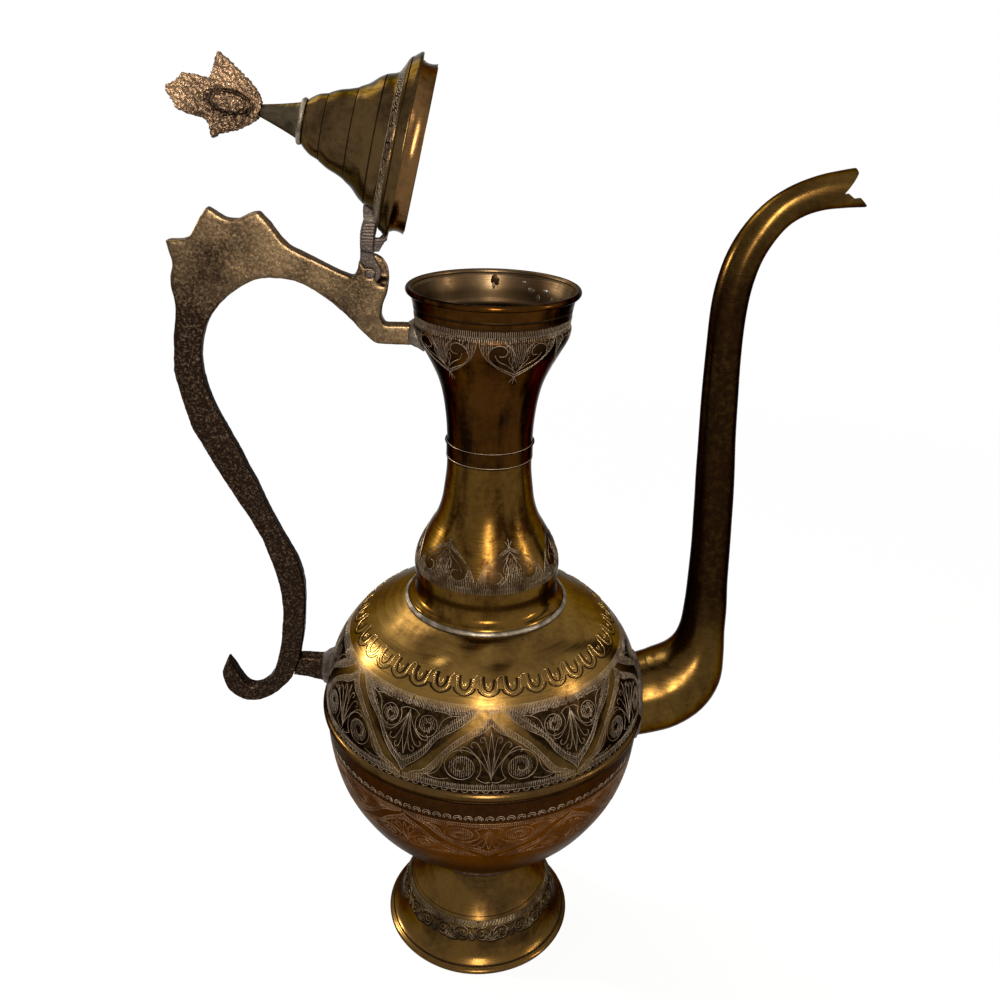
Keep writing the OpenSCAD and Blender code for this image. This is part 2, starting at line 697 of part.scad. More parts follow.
// Cast open hand with a raised oval on each face
module hand_finial() {
    color("rosybrown")
    on_lid()
    union() {
        plate([for (q = hand_shares) [q[0] * hand_half_w, hand_z + q[1] * hand_h]], hand_t);
        for (side = [-1, 1], step = [0, 1])
            translate([0, side * (hand_t / 2 + (step + 0.5) * oval_h / 2), hand_z + oval_up_share * hand_h])
                rotate([90, 0, 0])
                    linear_extrude(oval_h / 2, center = true)
                        polygon(oval(oval_l - step * oval_h, oval_w - step * oval_h));
    }
}

foot();
foot_solder();
lower_bowl();
belly_band();
upper_bowl();
neck_lower();
neck_solder();
neck_upper();
spout();
spout_solder();
handle();
handle_strut();
handle_top_solder();
handle_strut_solder();
hinge_pin();
lid_arm();
lid_arm_solder();
lid_dome();
lid_skirt();
lid_stem();
stem_solder();
hand_finial();
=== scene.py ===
import random
from math import cos, exp, hypot, pi, radians, sin, sqrt, tau

import bmesh
import bpy
from mathutils import Matrix, Vector, noise


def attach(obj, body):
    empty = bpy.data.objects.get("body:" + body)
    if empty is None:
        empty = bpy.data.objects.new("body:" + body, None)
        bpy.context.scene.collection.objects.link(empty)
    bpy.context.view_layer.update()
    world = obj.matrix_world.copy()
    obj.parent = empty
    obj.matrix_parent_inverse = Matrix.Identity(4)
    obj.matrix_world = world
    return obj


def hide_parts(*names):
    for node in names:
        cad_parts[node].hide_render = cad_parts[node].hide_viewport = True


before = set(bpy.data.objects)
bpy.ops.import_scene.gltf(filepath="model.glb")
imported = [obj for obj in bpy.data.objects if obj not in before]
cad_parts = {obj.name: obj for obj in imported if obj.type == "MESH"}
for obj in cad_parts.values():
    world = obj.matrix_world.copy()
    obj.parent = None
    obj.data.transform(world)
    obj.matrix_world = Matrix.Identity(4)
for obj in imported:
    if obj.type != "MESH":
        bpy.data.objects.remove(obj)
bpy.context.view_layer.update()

MM = 0.001

# The studio: a pale table that runs into a white background, and four soft lamps, of which the
# strongest is high in front. The table keeps a faint shadow, and metal mirrors the same white.
studio = bpy.context.scene
studio.view_settings.view_transform = "Standard"


def placed(name, data):
    """A new object in the scene."""
    made = bpy.data.objects.new(name, data)
    studio.collection.objects.link(made)
    return made


CAMERA_PLACE = Vector((-19.1, -346.4, 366.6)) * MM
CAMERA_LOOK = Vector((0.0618, 0.9072, -0.4161)).normalized()
CAMERA_ROLL = radians(1.77)
camera_data = bpy.data.cameras.new("camera")
camera_data.lens = 35.8
camera_data.sensor_width = 36.0
camera_data.clip_start = 0.01
camera = placed("camera", camera_data)
level_right = CAMERA_LOOK.cross(Vector((0, 0, 1))).normalized()
level_up = level_right.cross(CAMERA_LOOK)
right = level_right * cos(CAMERA_ROLL) + level_up * sin(CAMERA_ROLL)
up = level_up * cos(CAMERA_ROLL) - level_right * sin(CAMERA_ROLL)
turn = Matrix((right, up, -CAMERA_LOOK)).transposed().to_4x4()
camera.matrix_world = Matrix.Translation(CAMERA_PLACE) @ turn
studio.camera = camera


class Wiring:
    """Adds nodes to one tree, and fills their sockets by value or by link."""

    def __init__(self, tree):
        self.tree = tree

    def fill(self, socket, value):
        if isinstance(value, bpy.types.NodeSocket):
            self.tree.links.new(value, socket)
        elif socket.type == "RGBA":
            socket.default_value = (*value[:3], 1)
        else:
            socket.default_value = value

    def node(self, kind, values=(), **settings):
        made = self.tree.nodes.new(kind)
        for key, value in settings.items():
            setattr(made, key, value)
        for key, value in dict(values).items():
            self.fill(made.inputs[key], value)
        return made

    def value(self, kind, values=(), **settings):
        """The first output of a new node."""
        return self.node(kind, values, **settings).outputs[0]

    def maths(self, operation, a, b=0.0):
        return self.value("ShaderNodeMath", {0: a, 1: b}, operation=operation)

    def plus(self, total, *more):
        for value in more:
            total = self.maths("ADD", total, value)
        return total

    def minus(self, a, b):
        return self.maths("SUBTRACT", a, b)

    def times(self, total, *more):
        for value in more:
            total = self.maths("MULTIPLY", total, value)
        return total

    def ramp(self, value, low, high, out_low=0.0, out_high=1.0, **settings):
        """Goes from out_low to out_high while the value goes from low to high."""
        return self.value("ShaderNodeMapRange", {
            "Value": value, "From Min": low, "From Max": high, "To Min": out_low,
            "To Max": out_high}, **settings)

    def rising(self, *ends):
        """The same with soft ends."""
        return self.ramp(*ends, interpolation_type="SMOOTHSTEP")

    def between(self, share, low, high):
        """Colour that goes from low to high with the share."""
        return self.node("ShaderNodeMix", {0: share, 6: low, 7: high}, data_type="RGBA").outputs[2]

    def place(self):
        return self.node("ShaderNodeTexCoord").outputs["Object"]

    def clouds(self, place, scale, detail, roughness=0.5, distortion=0.0):
        return self.value("ShaderNodeTexNoise", {
            "Vector": place, "Scale": scale, "Detail": detail, "Roughness": roughness,
            "Distortion": distortion})

    def dot(self, a, b):
        made = self.node("ShaderNodeVectorMath", {0: a, 1: b}, operation="DOT_PRODUCT")
        return made.outputs["Value"]

    def parts(self, vector):
        return tuple(self.node("ShaderNodeSeparateXYZ", {0: vector}).outputs)

    def point(self, x, y, z=0.0):
        return self.value("ShaderNodeCombineXYZ", {0: x, 1: y, 2: z})

    def seen_directly(self):
        """1 for the rays that see the background, and that mirror or pass it on."""
        rays = self.node("ShaderNodeLightPath").outputs
        seen = self.maths("MAXIMUM", rays["Is Camera Ray"], rays["Is Glossy Ray"])
        return self.maths("MAXIMUM", seen, rays["Is Transmission Ray"])


WHITE = (1.0, 1.0, 1.0)
world = bpy.data.worlds.new("studio")
studio.world = world
world.use_nodes = True
sky = Wiring(world.node_tree)
room = sky.tree.nodes["Background"]
sky.fill(room.inputs["Color"], (0.9, 0.93, 1.0))
sky.fill(room.inputs["Strength"], 0.45)
paper = sky.value("ShaderNodeBackground", {"Color": WHITE, "Strength": 1.0})
sky.fill(sky.tree.nodes["World Output"].inputs["Surface"], sky.value("ShaderNodeMixShader", {
    0: sky.seen_directly(), 1: room.outputs[0], 2: paper}))

TABLE_HALF = 6.0
table_mesh = bpy.data.meshes.new("table")
table_mesh.from_pydata(
    [(x * TABLE_HALF, y * TABLE_HALF, 0.0) for x, y in ((-1, -1), (1, -1), (1, 1), (-1, 1))],
    [], [(0, 1, 2, 3)])
table = placed("table", table_mesh)
table_paint = bpy.data.materials.new("table")
table_paint.use_nodes = True
top = Wiring(table_paint.node_tree)
matt = top.tree.nodes["Principled BSDF"]
top.fill(matt.inputs["Base Color"], (0.82, 0.82, 0.82))
top.fill(matt.inputs["Roughness"], 0.9)
from_ewer = top.node("ShaderNodeVectorMath", {0: top.place()}, operation="LENGTH").outputs["Value"]
glow_share = top.times(top.seen_directly(), top.ramp(from_ewer, 0.15, 0.9, 0.88, 1.0))
glow = top.value("ShaderNodeEmission", {"Color": WHITE})
from_above = top.value("ShaderNodeMixShader", {0: glow_share, 1: matt.outputs[0], 2: glow})
top.fill(top.tree.nodes["Material Output"].inputs["Surface"], top.value("ShaderNodeMixShader", {
    0: top.node("ShaderNodeNewGeometry").outputs["Backfacing"], 1: from_above,
    2: top.value("ShaderNodeBsdfTransparent")}))
table_mesh.materials.append(table_paint)

LAMP_AIM = Vector((0, 0, 0.17))
for lamp_name, place, wide, tall, power, tint in (
        ("front_lamp", (0.0, -0.85, 0.62), 0.16, 0.6, 11.0, (1.0, 0.94, 0.82)),
        ("left_lamp", (-0.9, 0.33, 0.5), 0.07, 0.2, 8.0, (1.0, 0.97, 0.9)),
        ("right_lamp", (0.8, -0.3, 0.5), 0.06, 0.4, 3.0, (1.0, 0.9, 0.74)),
        ("back_lamp", (-0.4, 0.6, 0.9), 0.4, 0.4, 4.0, (0.97, 0.97, 1.0))):
    lamp_data = bpy.data.lights.new(lamp_name, "AREA")
    lamp_data.shape = "RECTANGLE"
    lamp_data.size = wide
    lamp_data.size_y = tall
    lamp_data.energy = power
    lamp_data.color = tint
    lamp = placed(lamp_name, lamp_data)
    lamp.location = place
    lamp.rotation_euler = (LAMP_AIM - Vector(place)).to_track_quat("-Z", "Y").to_euler()

# The foot: a bell of thin brass, spun over a form, turned to a sharp edge at the table and left
# hollow. Its polish has gone brown in patches, and fine lathe lines run round it.


def rounded(points, steps=6):
    """A smooth curve through the points."""
    out = []
    for i in range(len(points) - 1):
        a, b = points[max(i - 1, 0)], points[i]
        c, d = points[i + 1], points[min(i + 2, len(points) - 1)]
        for k in range(steps):
            t = k / steps
            out.append(tuple(
                (2 * b[j] + (c[j] - a[j]) * t + (2 * a[j] - 5 * b[j] + 4 * c[j] - d[j]) * t * t
                 + (3 * b[j] - a[j] - 3 * c[j] + d[j]) * t ** 3) / 2 for j in range(len(b))))
    return out + [tuple(points[-1])]


def profile(shares, narrow, wide, low, high):
    """The outer curve of a turned piece from its shares, in millimetres."""
    return rounded([(narrow + (wide - narrow) * r, low + (high - low) * z) for r, z in shares])


def walled(curve, first=(-1, 0), final=(-1, 0)):
    """Closed outline of a sheet whose outside is the curve."""
    inner = []
    for i, (r, z) in enumerate(curve):
        if i == 0:
            way = first
        elif i == len(curve) - 1:
            way = final
        else:
            dr, dz = curve[i + 1][0] - curve[i - 1][0], curve[i + 1][1] - curve[i - 1][1]
            size = hypot(dr, dz) or 1.0
            way = (-dz / size, dr / size)
        inner.append((max(0.0, r + SHEET * way[0]), z + SHEET * way[1]))
    return curve + inner[::-1]


def as_object(name, bm, sharp=35):
    """The closed mesh as a smooth piece with its sharp edges kept."""
    bmesh.ops.remove_doubles(bm, verts=bm.verts, dist=1e-7)
    bmesh.ops.recalc_face_normals(bm, faces=bm.faces)
    mesh = bpy.data.meshes.new(name)
    bm.to_mesh(mesh)
    bm.free()
    mesh.shade_smooth()
    mesh.set_sharp_from_angle(angle=radians(sharp))
    return placed(name, mesh)


def turned(name, outline, steps=192):
    """Turns a closed outline of (radius, height), in millimetres, about the upright axis."""
    bm = bmesh.new()
    rows = []
    for r, z in outline:
        count = 1 if r < 1e-4 else steps
        rows.append([bm.verts.new((r * MM * cos(tau * k / steps),
                                   r * MM * sin(tau * k / steps), z * MM))
                     for k in range(count)])
    for low, high in zip(rows, rows[1:] + rows[:1]):
        for k in range(steps):
            ring = [low[k % len(low)], low[(k + 1) % len(low)],
                    high[(k + 1) % len(high)], high[k % len(high)]]
            corners = list(dict.fromkeys(ring))
            if len(corners) > 2:
                bm.faces.new(corners)
    return as_object(name, bm)


def hand_worked(piece, depth, size):
    """Slow dents and flats left by hand work: the mesh moves in and out by up to depth."""
    for vert in piece.data.vertices:
        out = Vector((vert.co.x, vert.co.y, 0.0))
        if out.length > 1e-5:
            vert.co += out.normalized() * noise.noise(vert.co / (size * MM)) * depth * MM


def new_group(name, kind, inputs, outputs):
    """A node group. An input takes its sort from its first value, or from a word in its place."""
    tree = bpy.data.node_groups.new(name, kind)
    for label, value in inputs.items():
        if isinstance(value, str):
            sort = value
        elif isinstance(value, tuple):
            sort = "Color" if len(value) == 4 else "Vector"
        else:
            sort = type(value).__name__.title()
        socket = tree.interface.new_socket(
            name=label, in_out="INPUT", socket_type="NodeSocket" + sort)
        if sort != value:
            socket.default_value = value
    for label, sort in outputs.items():
        tree.interface.new_socket(name=label, in_out="OUTPUT", socket_type="NodeSocket" + sort)
    given, gives = tree.nodes.new("NodeGroupInput"), tree.nodes.new("NodeGroupOutput")
    return Wiring(tree), given.outputs, gives.inputs


def new_look(name, inputs):
    """A group that puts out what finish needs."""
    return new_group(name, "ShaderNodeTree", inputs, {
        "Color": "Color", "Roughness": "Float", "Height": "Float"})


# Old polished brass, for every spun and turned piece: cloudy tarnish, upright stains where
# liquid ran down, fine lathe lines, small pits, and a darker belt where the engraving holds dirt.
# On the spout the same darker belt is painted shade, standing for a dark reflection.
BROWN = (0.1, 0.06, 0.03, 1)
aged, given, gives = new_look("Aged brass", {
    "Bright": BROWN, "Tarnish": BROWN, "Tarnish Amount": 0.6, "Patch Scale": 30.0,
    "Stain Amount": 0.2, "Polish": 0.2, "Dirt": BROWN, "Dirt From": -1.0, "Dirt To": -1.0,
    "Dirt Amount": 0.0, "Dirt Edge": 0.0015, "Inside": BROWN, "Inside Amount": 0.0, "Points": 0.0,
    "Points Turn": 0.0, "Points Start": 0.0, "Points Fall": 0.0, "Points Half": 0.13})
place = aged.place()
east, north, upright = aged.parts(place)
patches = aged.clouds(place, given["Patch Scale"], 5.0, 0.62, 0.6)
drawn_up = aged.value("ShaderNodeMapping", {"Vector": place, "Scale": (130.0, 130.0, 9.0)})
streaks = aged.clouds(drawn_up, 1.0, 3.0)
mottle = aged.clouds(place, 420.0, 4.0, 0.7)
lathe = aged.value("ShaderNodeTexNoise", {"W": upright, "Scale": 1700.0, "Detail": 2.0},
                   noise_dimensions="1D")
pits = aged.value("ShaderNodeTexVoronoi", {"Vector": place, "Scale": 380.0})
pit_mask = aged.rising(pits, 0.05, 0.16, 1.0, 0.0)
tarnished = aged.value("ShaderNodeClamp", {0: aged.plus(
    aged.times(aged.rising(patches, 0.36, 0.66), given["Tarnish Amount"]),
    aged.times(aged.rising(streaks, 0.45, 0.72), given["Stain Amount"]),
    aged.times(pit_mask, 0.35), aged.rising(mottle, 0.35, 0.75, -0.12, 0.22))})
metal = aged.between(tarnished, given["Bright"], given["Tarnish"])

# The dirt lies between two heights, and on the spout this band is painted shade instead.
# Plain points of brass stand in it, six times round.
low, high = given["Dirt From"], given["Dirt To"]
bearing = aged.times(aged.maths("ARCTAN2", east, aged.times(north, -1.0)), 6 / tau)
off_centre = aged.times(
    aged.maths("PINGPONG", aged.minus(bearing, given["Points Turn"]), 0.5), 2.0)
middle = aged.minus(given["Points Start"], aged.times(off_centre, given["Points Fall"]))
away = aged.maths("DIVIDE", aged.maths("ABSOLUTE", aged.minus(
    aged.ramp(upright, low, high, clamp=False), middle)), given["Points Half"])
kept_clean = aged.times(given["Points"], aged.rising(away, 0.75, 1.1, 1.0, 0.0))
belt = aged.times(
    aged.ramp(upright, low, aged.plus(low, given["Dirt Edge"])),
    aged.ramp(upright, high, aged.minus(high, given["Dirt Edge"])),
    aged.minus(1.0, kept_clean),
    aged.times(given["Dirt Amount"], aged.rising(mottle, 0.3, 0.6, 0.82, 1.0)))
outward = aged.value("ShaderNodeVectorMath", {0: place, 1: (1.0, 1.0, 0.0)}, operation="MULTIPLY")
facing_in = aged.dot(outward, aged.node("ShaderNodeNewGeometry").outputs["Normal"])
inner = aged.times(given["Inside Amount"], aged.rising(facing_in, -0.004, -0.012))
dull = aged.between(aged.rising(patches, 0.35, 0.62, 0.0, 0.5), given["Inside"], metal)
aged.fill(gives["Color"], aged.between(inner, aged.between(belt, metal, given["Dirt"]), dull))
aged.fill(gives["Roughness"], aged.plus(
    given["Polish"], aged.times(tarnished, 0.16), aged.times(belt, 0.12), aged.times(inner, 0.15),
    aged.rising(lathe, 0.3, 0.7, -0.03, 0.05)))
aged.fill(gives["Height"], aged.plus(
    aged.minus(aged.times(lathe, 0.35), aged.times(pit_mask, 0.6)), aged.times(mottle, 0.25)))

EDGE_TINT = (0.35, 0.35, 0.35)


def finish(name, look, values, metallic=1.0, bump=0.12, depth=0.0002, rim=EDGE_TINT):
    """A material whose colour, roughness and relief come from the look."""
    material = bpy.data.materials.new(name)
    material.use_nodes = True
    coat = Wiring(material.node_tree)
    skin = coat.node("ShaderNodeGroup", values, node_tree=look.tree).outputs
    relief = coat.value("ShaderNodeBump", {
        "Height": skin["Height"], "Strength": bump, "Distance": depth})
    for label, value in (("Base Color", skin["Color"]), ("Roughness", skin["Roughness"]),
                         ("Normal", relief), ("Metallic", metallic), ("Specular Tint", rim)):
        coat.fill(coat.tree.nodes["Principled BSDF"].inputs[label], value)
    return material


def brass(name, bright, tarnish, share, patches, stain, polish, more=(), rim=EDGE_TINT):
    """Aged brass: its two colours, how much is tarnished, the patches, the stains, the polish."""
    return finish(name, aged, {
        "Bright": bright, "Tarnish": tarnish, "Tarnish Amount": share, "Patch Scale": patches,
        "Stain Amount": stain, "Polish": polish, **dict(more)}, rim=rim)


def dirt(colour, low, high, amount, **points):
    """Dirt between two heights, in metres, and its plain points; on the spout, painted shade."""
    return {"Dirt": colour, "Dirt From": low, "Dirt To": high, "Dirt Amount": amount,
            **{"Points " + key.title(): value for key, value in points.items()}}


def dress(piece, material, body, slot, *nodes):
    """Gives a finished piece its material, its body and the nodes that it stands for.
    The slot is not used.
    """
    piece.data.materials.clear()
    piece.data.materials.append(material)
    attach(piece, body)
    if nodes:
        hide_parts(*nodes)


SHEET = 1.0
FOOT_TOP, FOOT_NARROW, FOOT_WIDE = 41.0, 23.2, 41.0
SMALL_DENTS = (0.1, 22)
foot_curve = profile((
    (0.97, 0), (1, 0.022), (0.98, 0.046), (0.91, 0.066), (0.83, 0.093), (0.75, 0.14), (0.695, 0.2),
    (0.655, 0.27), (0.615, 0.34), (0.545, 0.415), (0.425, 0.495), (0.276, 0.585), (0.15, 0.68),
    (0.057, 0.78), (0.006, 0.88), (0.006, 0.95), (0.046, 1.02)),
    FOOT_NARROW, FOOT_WIDE, 0, FOOT_TOP)
foot_brass = brass("foot_brass", (0.09, 0.048, 0.012), (0.026, 0.0135, 0.005), 0.8, 42.0, 0.25, 0.2,
                   dirt((0.02, 0.011, 0.005), 0.0125, 0.0215, 0.6))
foot = turned("foot_bell", walled(foot_curve), 160)
hand_worked(foot, *SMALL_DENTS)
dress(foot, foot_brass, "vessel", "turned_brass", "foot")

# The bowl's lower half: a deep spun cup with a closed bottom that drops a little into the foot.
# A round hole is cut in its side, and the upper half's, for the water to reach the spout.
BELLY, SEAM = 65.0, 118.0
BOWL_DENTS = (0.16, 26)
lower_curve = profile((
    (0, -0.06), (0.12, -0.057), (0.23, -0.04), (0.31, -0.013), (0.375, 0.023), (0.45, 0.09),
    (0.57, 0.18), (0.68, 0.273), (0.807, 0.403), (0.91, 0.56), (0.965, 0.714), (0.99, 0.87),
    (0.998, 1)), 0, BELLY, FOOT_TOP, SEAM)
SPOUT_Z = SEAM - 0.5


def rod(name, radius, x0, x1):
    """A round bar along X at the height of the spout's root, used to cut holes."""
    bm = bmesh.new()
    bmesh.ops.create_cone(bm, cap_ends=True, segments=48, radius1=radius * MM,
                          radius2=radius * MM, depth=(x1 - x0) * MM)
    bm.transform(Matrix.Translation(Vector(((x0 + x1) / 2, 0, SPOUT_Z)) * MM)
                 @ Matrix.Rotation(pi / 2, 4, "Y"))
    return as_object(name, bm)


def baked(piece):
    """Makes the piece's modifiers into plain mesh."""
    bpy.context.view_layer.update()
    result = bpy.data.meshes.new_from_object(
        piece.evaluated_get(bpy.context.evaluated_depsgraph_get()))
    result.name = piece.name
    piece.modifiers.clear()
    piece.data = result


def cut(piece, *cutters):
    """Cuts the closed shapes away from the piece, and removes them."""
    for cutter in cutters:
        knife = piece.modifiers.new("cut", "BOOLEAN")
        knife.operation = "DIFFERENCE"
        knife.solver = "EXACT"
        knife.object = cutter
    baked(piece)
    for cutter in cutters:
        bpy.data.objects.remove(cutter)


WATER_HOLE = ("water_hole", 12.0, 40, 80)
copper_brass = brass("lower_bowl_brass", (0.105, 0.034, 0.005), (0.032, 0.011, 0.003), 0.75, 36.0,
                     0.2, 0.3, dirt((0.018, 0.0075, 0.003), 0.1055, 0.1165, 0.8),
                     rim=(0.42, 0.44, 0.43))
lower_bowl = turned("bowl_lower_half", walled(lower_curve, (0, 1)))
hand_worked(lower_bowl, *BOWL_DENTS)
cut(lower_bowl, rod(*WATER_HOLE))
dress(lower_bowl, copper_brass, "vessel", "engraved_brass", "lower_bowl")

# Engraving: the lines are cut by hand with a narrow tool, one pattern over and over round the
# brass. Each stroke is a fine bright rib of metal that follows the curve it lies on.
wrap, wants, makes = new_group("Engraved belt", "GeometryNodeTree", {
    "Geometry": "Geometry", "Pattern": "Object", "Path": "Object", "Repeats": "Int",
    "Belt Radius": 0.06, "Start Length": 0.0, "Start Angle": 0.0, "Stroke Width": 0.0004,
    "Stroke Relief": 0.00006, "Stroke Step": 0.0008, "Metal": "Material"}, {"Geometry": "Geometry"})
drawn = wrap.node("GeometryNodeObjectInfo", {"Object": wants["Pattern"]}).outputs["Geometry"]
copies = wrap.node("GeometryNodeDuplicateElements", {
    "Geometry": drawn, "Amount": wants["Repeats"]}, domain="SPLINE").outputs
x, y, z = wrap.parts(wrap.value("GeometryNodeInputPosition"))
step = wrap.maths("DIVIDE", wrap.times(wants["Belt Radius"], tau), wants["Repeats"])
across = wrap.plus(x, wrap.times(copies["Duplicate Index"], step))
flat = wrap.value("GeometryNodeSetPosition", {
    "Geometry": copies["Geometry"], "Position": wrap.point(across, y)})
fine = wrap.value("GeometryNodeResampleCurve", {"Curve": flat, "Length": wants["Stroke Step"]},
                  mode="LENGTH")
facing = wrap.value("GeometryNodeSetCurveNormal", {"Curve": fine}, mode="Z_UP")
rib_half = wrap.maths("DIVIDE", wants["Stroke Width"], sqrt(3))
rib = wrap.value("GeometryNodeTransform", {
    "Geometry": wrap.value("GeometryNodeCurvePrimitiveCircle", {"Resolution": 3, "Radius": 1.0}),
    "Rotation": (0.0, 0.0, -pi / 2),
    "Scale": wrap.point(wants["Stroke Relief"], rib_half, 1.0)})
ribs = wrap.value("GeometryNodeCurveToMesh", {
    "Curve": facing, "Profile Curve": rib, "Fill Caps": True})
x, y, z = wrap.parts(wrap.value("GeometryNodeInputPosition"))
track = wrap.node("GeometryNodeSampleCurve", {
    "Curves": wrap.node("GeometryNodeObjectInfo", {"Object": wants["Path"]}).outputs["Geometry"],
    "Length": wrap.plus(wants["Start Length"], y)}, mode="LENGTH").outputs
track_r, _, track_z = wrap.parts(track["Position"])
along_r, _, along_z = wrap.parts(track["Tangent"])
out_r = wrap.plus(track_r, wrap.times(along_z, z))
out_z = wrap.minus(track_z, wrap.times(along_r, z))
angle = wrap.plus(wants["Start Angle"], wrap.maths("DIVIDE", x, wants["Belt Radius"]))
wrapped = wrap.value("GeometryNodeSetPosition", {"Geometry": ribs, "Position": wrap.point(
    wrap.times(out_r, wrap.maths("SINE", angle)),
    wrap.times(out_r, wrap.maths("COSINE", angle), -1.0), out_z)})
real = wrap.value("GeometryNodeRealizeInstances", {"Geometry": wrapped})
wrap.fill(makes["Geometry"], wrap.value("GeometryNodeSetMaterial", {
    "Geometry": real, "Material": wants["Metal"]}))

# Freshly cut brass, pale along the cut, and dull and brown where dirt has filled it.
cuts, given, gives = new_look("Cut strokes", {
    "Cut": BROWN, "Filled": BROWN, "Filled Amount": 0.6, "Roughness": 0.42})
place = cuts.place()
filled = cuts.times(cuts.rising(cuts.clouds(place, 120.0, 4.0, 0.65), 0.4, 0.62),
                    given["Filled Amount"])
cuts.fill(gives["Color"], cuts.between(filled, given["Cut"], given["Filled"]))
cuts.fill(gives["Roughness"], cuts.plus(given["Roughness"], cuts.times(filled, 0.25)))
cuts.fill(gives["Height"], cuts.clouds(place, 1500.0, 2.0))


def cut_metal(name, fresh, filled, share, metallic=1.0, roughness=0.42):
    return finish(name, cuts, {
        "Cut": fresh, "Filled": filled, "Filled Amount": share, "Roughness": roughness},
        metallic, 0.3, 0.00005)


cut_brass = cut_metal("cut_brass", (0.29, 0.218, 0.152), (0.05, 0.031, 0.019), 0.6, 0.9)
# Near-black strokes: dirt in cut grooves, and painted shade and shadow where they lie beside raised
# work, under the bead and in the lid's steps.
dirt_and_shade_brass = cut_metal("filled_strokes", (0.02, 0.011, 0.005), (0.008, 0.0045, 0.0025), 0.8)


def polyline(name, lines):
    """A curve object of straight-sided splines. The points are in millimetres."""
    data = bpy.data.curves.new(name, "CURVE")
    data.dimensions = "3D"
    for line in lines:
        spline = data.splines.new("POLY")
        spline.points.add(len(line) - 1)
        for point, (x, y, *z) in zip(spline.points, line):
            point.co = (x * MM, y * MM, sum(z) * MM, 1)
    return placed(name, data)


def engraved(name, lines, curve, from_z, belt_radius, dents, repeats=6, turn_by=0.0, width=0.4,
             relief=0.06, metal=cut_brass, body="vessel", slot="engraved_brass"):
    """Strokes drawn as (across, up) from from_z on the curve, repeated round it as one mesh."""
    length, start = 0.0, 0.0
    for (r0, z0), (r1, z1) in zip(curve, curve[1:]):
        run = hypot(r1 - r0, z1 - z0)
        if z0 <= from_z < z1:
            start = length + run * (from_z - z0) / (z1 - z0)
        length += run
    pattern = polyline(name + "_pattern", lines)
    path = polyline(name + "_path", [[(r, 0, z) for r, z in curve]])
    host = placed(name, bpy.data.meshes.new(name))
    belt_maker = host.modifiers.new("belt", "NODES")
    belt_maker.node_group = wrap.tree
    sockets = {s.name: s.identifier for s in wrap.tree.interface.items_tree if s.in_out == "INPUT"}
    for key, value in (("Pattern", pattern), ("Path", path), ("Repeats", repeats),
                       ("Belt Radius", belt_radius * MM), ("Start Length", start * MM),
                       ("Start Angle", radians(turn_by)), ("Stroke Width", width * MM),
                       ("Stroke Relief", relief * MM), ("Metal", metal)):
        belt_maker[sockets[key]] = value
    baked(host)
    bpy.data.objects.remove(pattern)
    bpy.data.objects.remove(path)
    hand_worked(host, *dents)
    dress(host, metal, body, slot)
    return host


def ringed(name, curve, z, radius, width, dents, body="vessel"):
    """A plain near-black line right round a turned piece: dirt in a cut groove, and painted shade
    under the bead and at the steps of the lid.
    """
    half = pi * radius / 6 + 0.05
    return engraved(name, [[(-half, 0), (half, 0)]], curve, z, radius, dents, width=width,
                    relief=0.04, metal=dirt_and_shade_brass, body=body)


def flipped(lines, top, tall, broad=1.0):
    return [[(x * broad, top - y * tall) for x, y in line] for line in lines]


def both_sides(line):
    return [line, [(-x, y) for x, y in line]]


def paired(steps, *strokes):
    """Each stroke made smooth, with its mirror image."""
    return [side for stroke in strokes for side in both_sides(rounded(stroke, steps))]


def closed(side):
    """The outline that the side makes with its mirror image."""
    return side + [(-x, y) for x, y in side[::-1]]


def polar(x, y, radius, a):
    """The point at this distance and bearing from (x, y)."""
    return x + radius * cos(a), y + radius * sin(a)


def curl(x, y, radius, start, turns, way, points):
    """A spiral that closes in on (x, y)."""
    out = []
    for i in range(points + 1):
        t = i / points
        a = radians(start) + way * tau * turns * t
        out.append(polar(x, y, radius * (1 - 0.88 * t ** 1.5), a))
    return out


def circle(x, y, radius):
    return [polar(x, y, radius, tau * k / 20) for k in range(20)]


def inside(x, y, outline):
    hit = False
    for (x0, y0), (x1, y1) in zip(outline, outline[1:] + outline[:1]):
        if (y0 > y) != (y1 > y) and x < x0 + (x1 - x0) * (y - y0) / (y1 - y0):
            hit = not hit
    return hit


def hatched(outline, bare, seed, pitch=0.62, tick=1.9):
    """Short upright cuts that fill the outline round its bare field, uneven as by hand."""
    dice = random.Random(seed)
    xs, ys = [q[0] for q in outline], [q[1] for q in outline]
    out = []
    x = min(xs) + pitch / 2
    while x < max(xs):
        y = min(ys) - dice.uniform(0, tick)
        while y < max(ys):
            size = tick * dice.uniform(0.75, 1.25)
            kept = [h for h in (y + size * k / 8 for k in range(9))
                    if inside(x, h, outline) and not inside(x, h, bare)]
            if kept and kept[-1] - kept[0] > 0.45:
                out.append([(x + dice.uniform(-0.1, 0.1), h) for h in (kept[0], kept[-1])])
            y += size + 0.25 * dice.uniform(0.6, 1.5)
        x += pitch * dice.uniform(0.88, 1.12)
    return out


def fringe(half, y0, y1, seed, pitch):
    """One row of long cuts side by side, as on a border."""
    dice = random.Random(seed)
    out = []
    for k in range(int(2 * half / pitch)):
        x = -half + (k + 0.5) * pitch
        low = y0 + dice.uniform(-0.25, 0.35)
        out.append([(x, low), (x + dice.uniform(-0.08, 0.08), y1 + dice.uniform(-0.2, 0.1))])
    return out


def leaf_fan(x, y, length, spread, count, bend):
    """Leaves that open from one point, each drawn by two bent strokes that meet at its tip."""
    out = []
    for k in range(count):
        side = (k - (count - 1) / 2) / max(1, (count - 1) / 2)
        a = radians(90 - side * spread)
        reach = length * (1 - 0.3 * abs(side))
        tip = polar(x, y, reach, a)
        for swell in (-1, 1):
            mid = (x + 0.55 * reach * cos(a) + swell * bend * sin(a),
                   y + 0.55 * reach * sin(a) - swell * bend * cos(a))
            out.append(rounded([(x, y), mid, tip], 4))
    return out


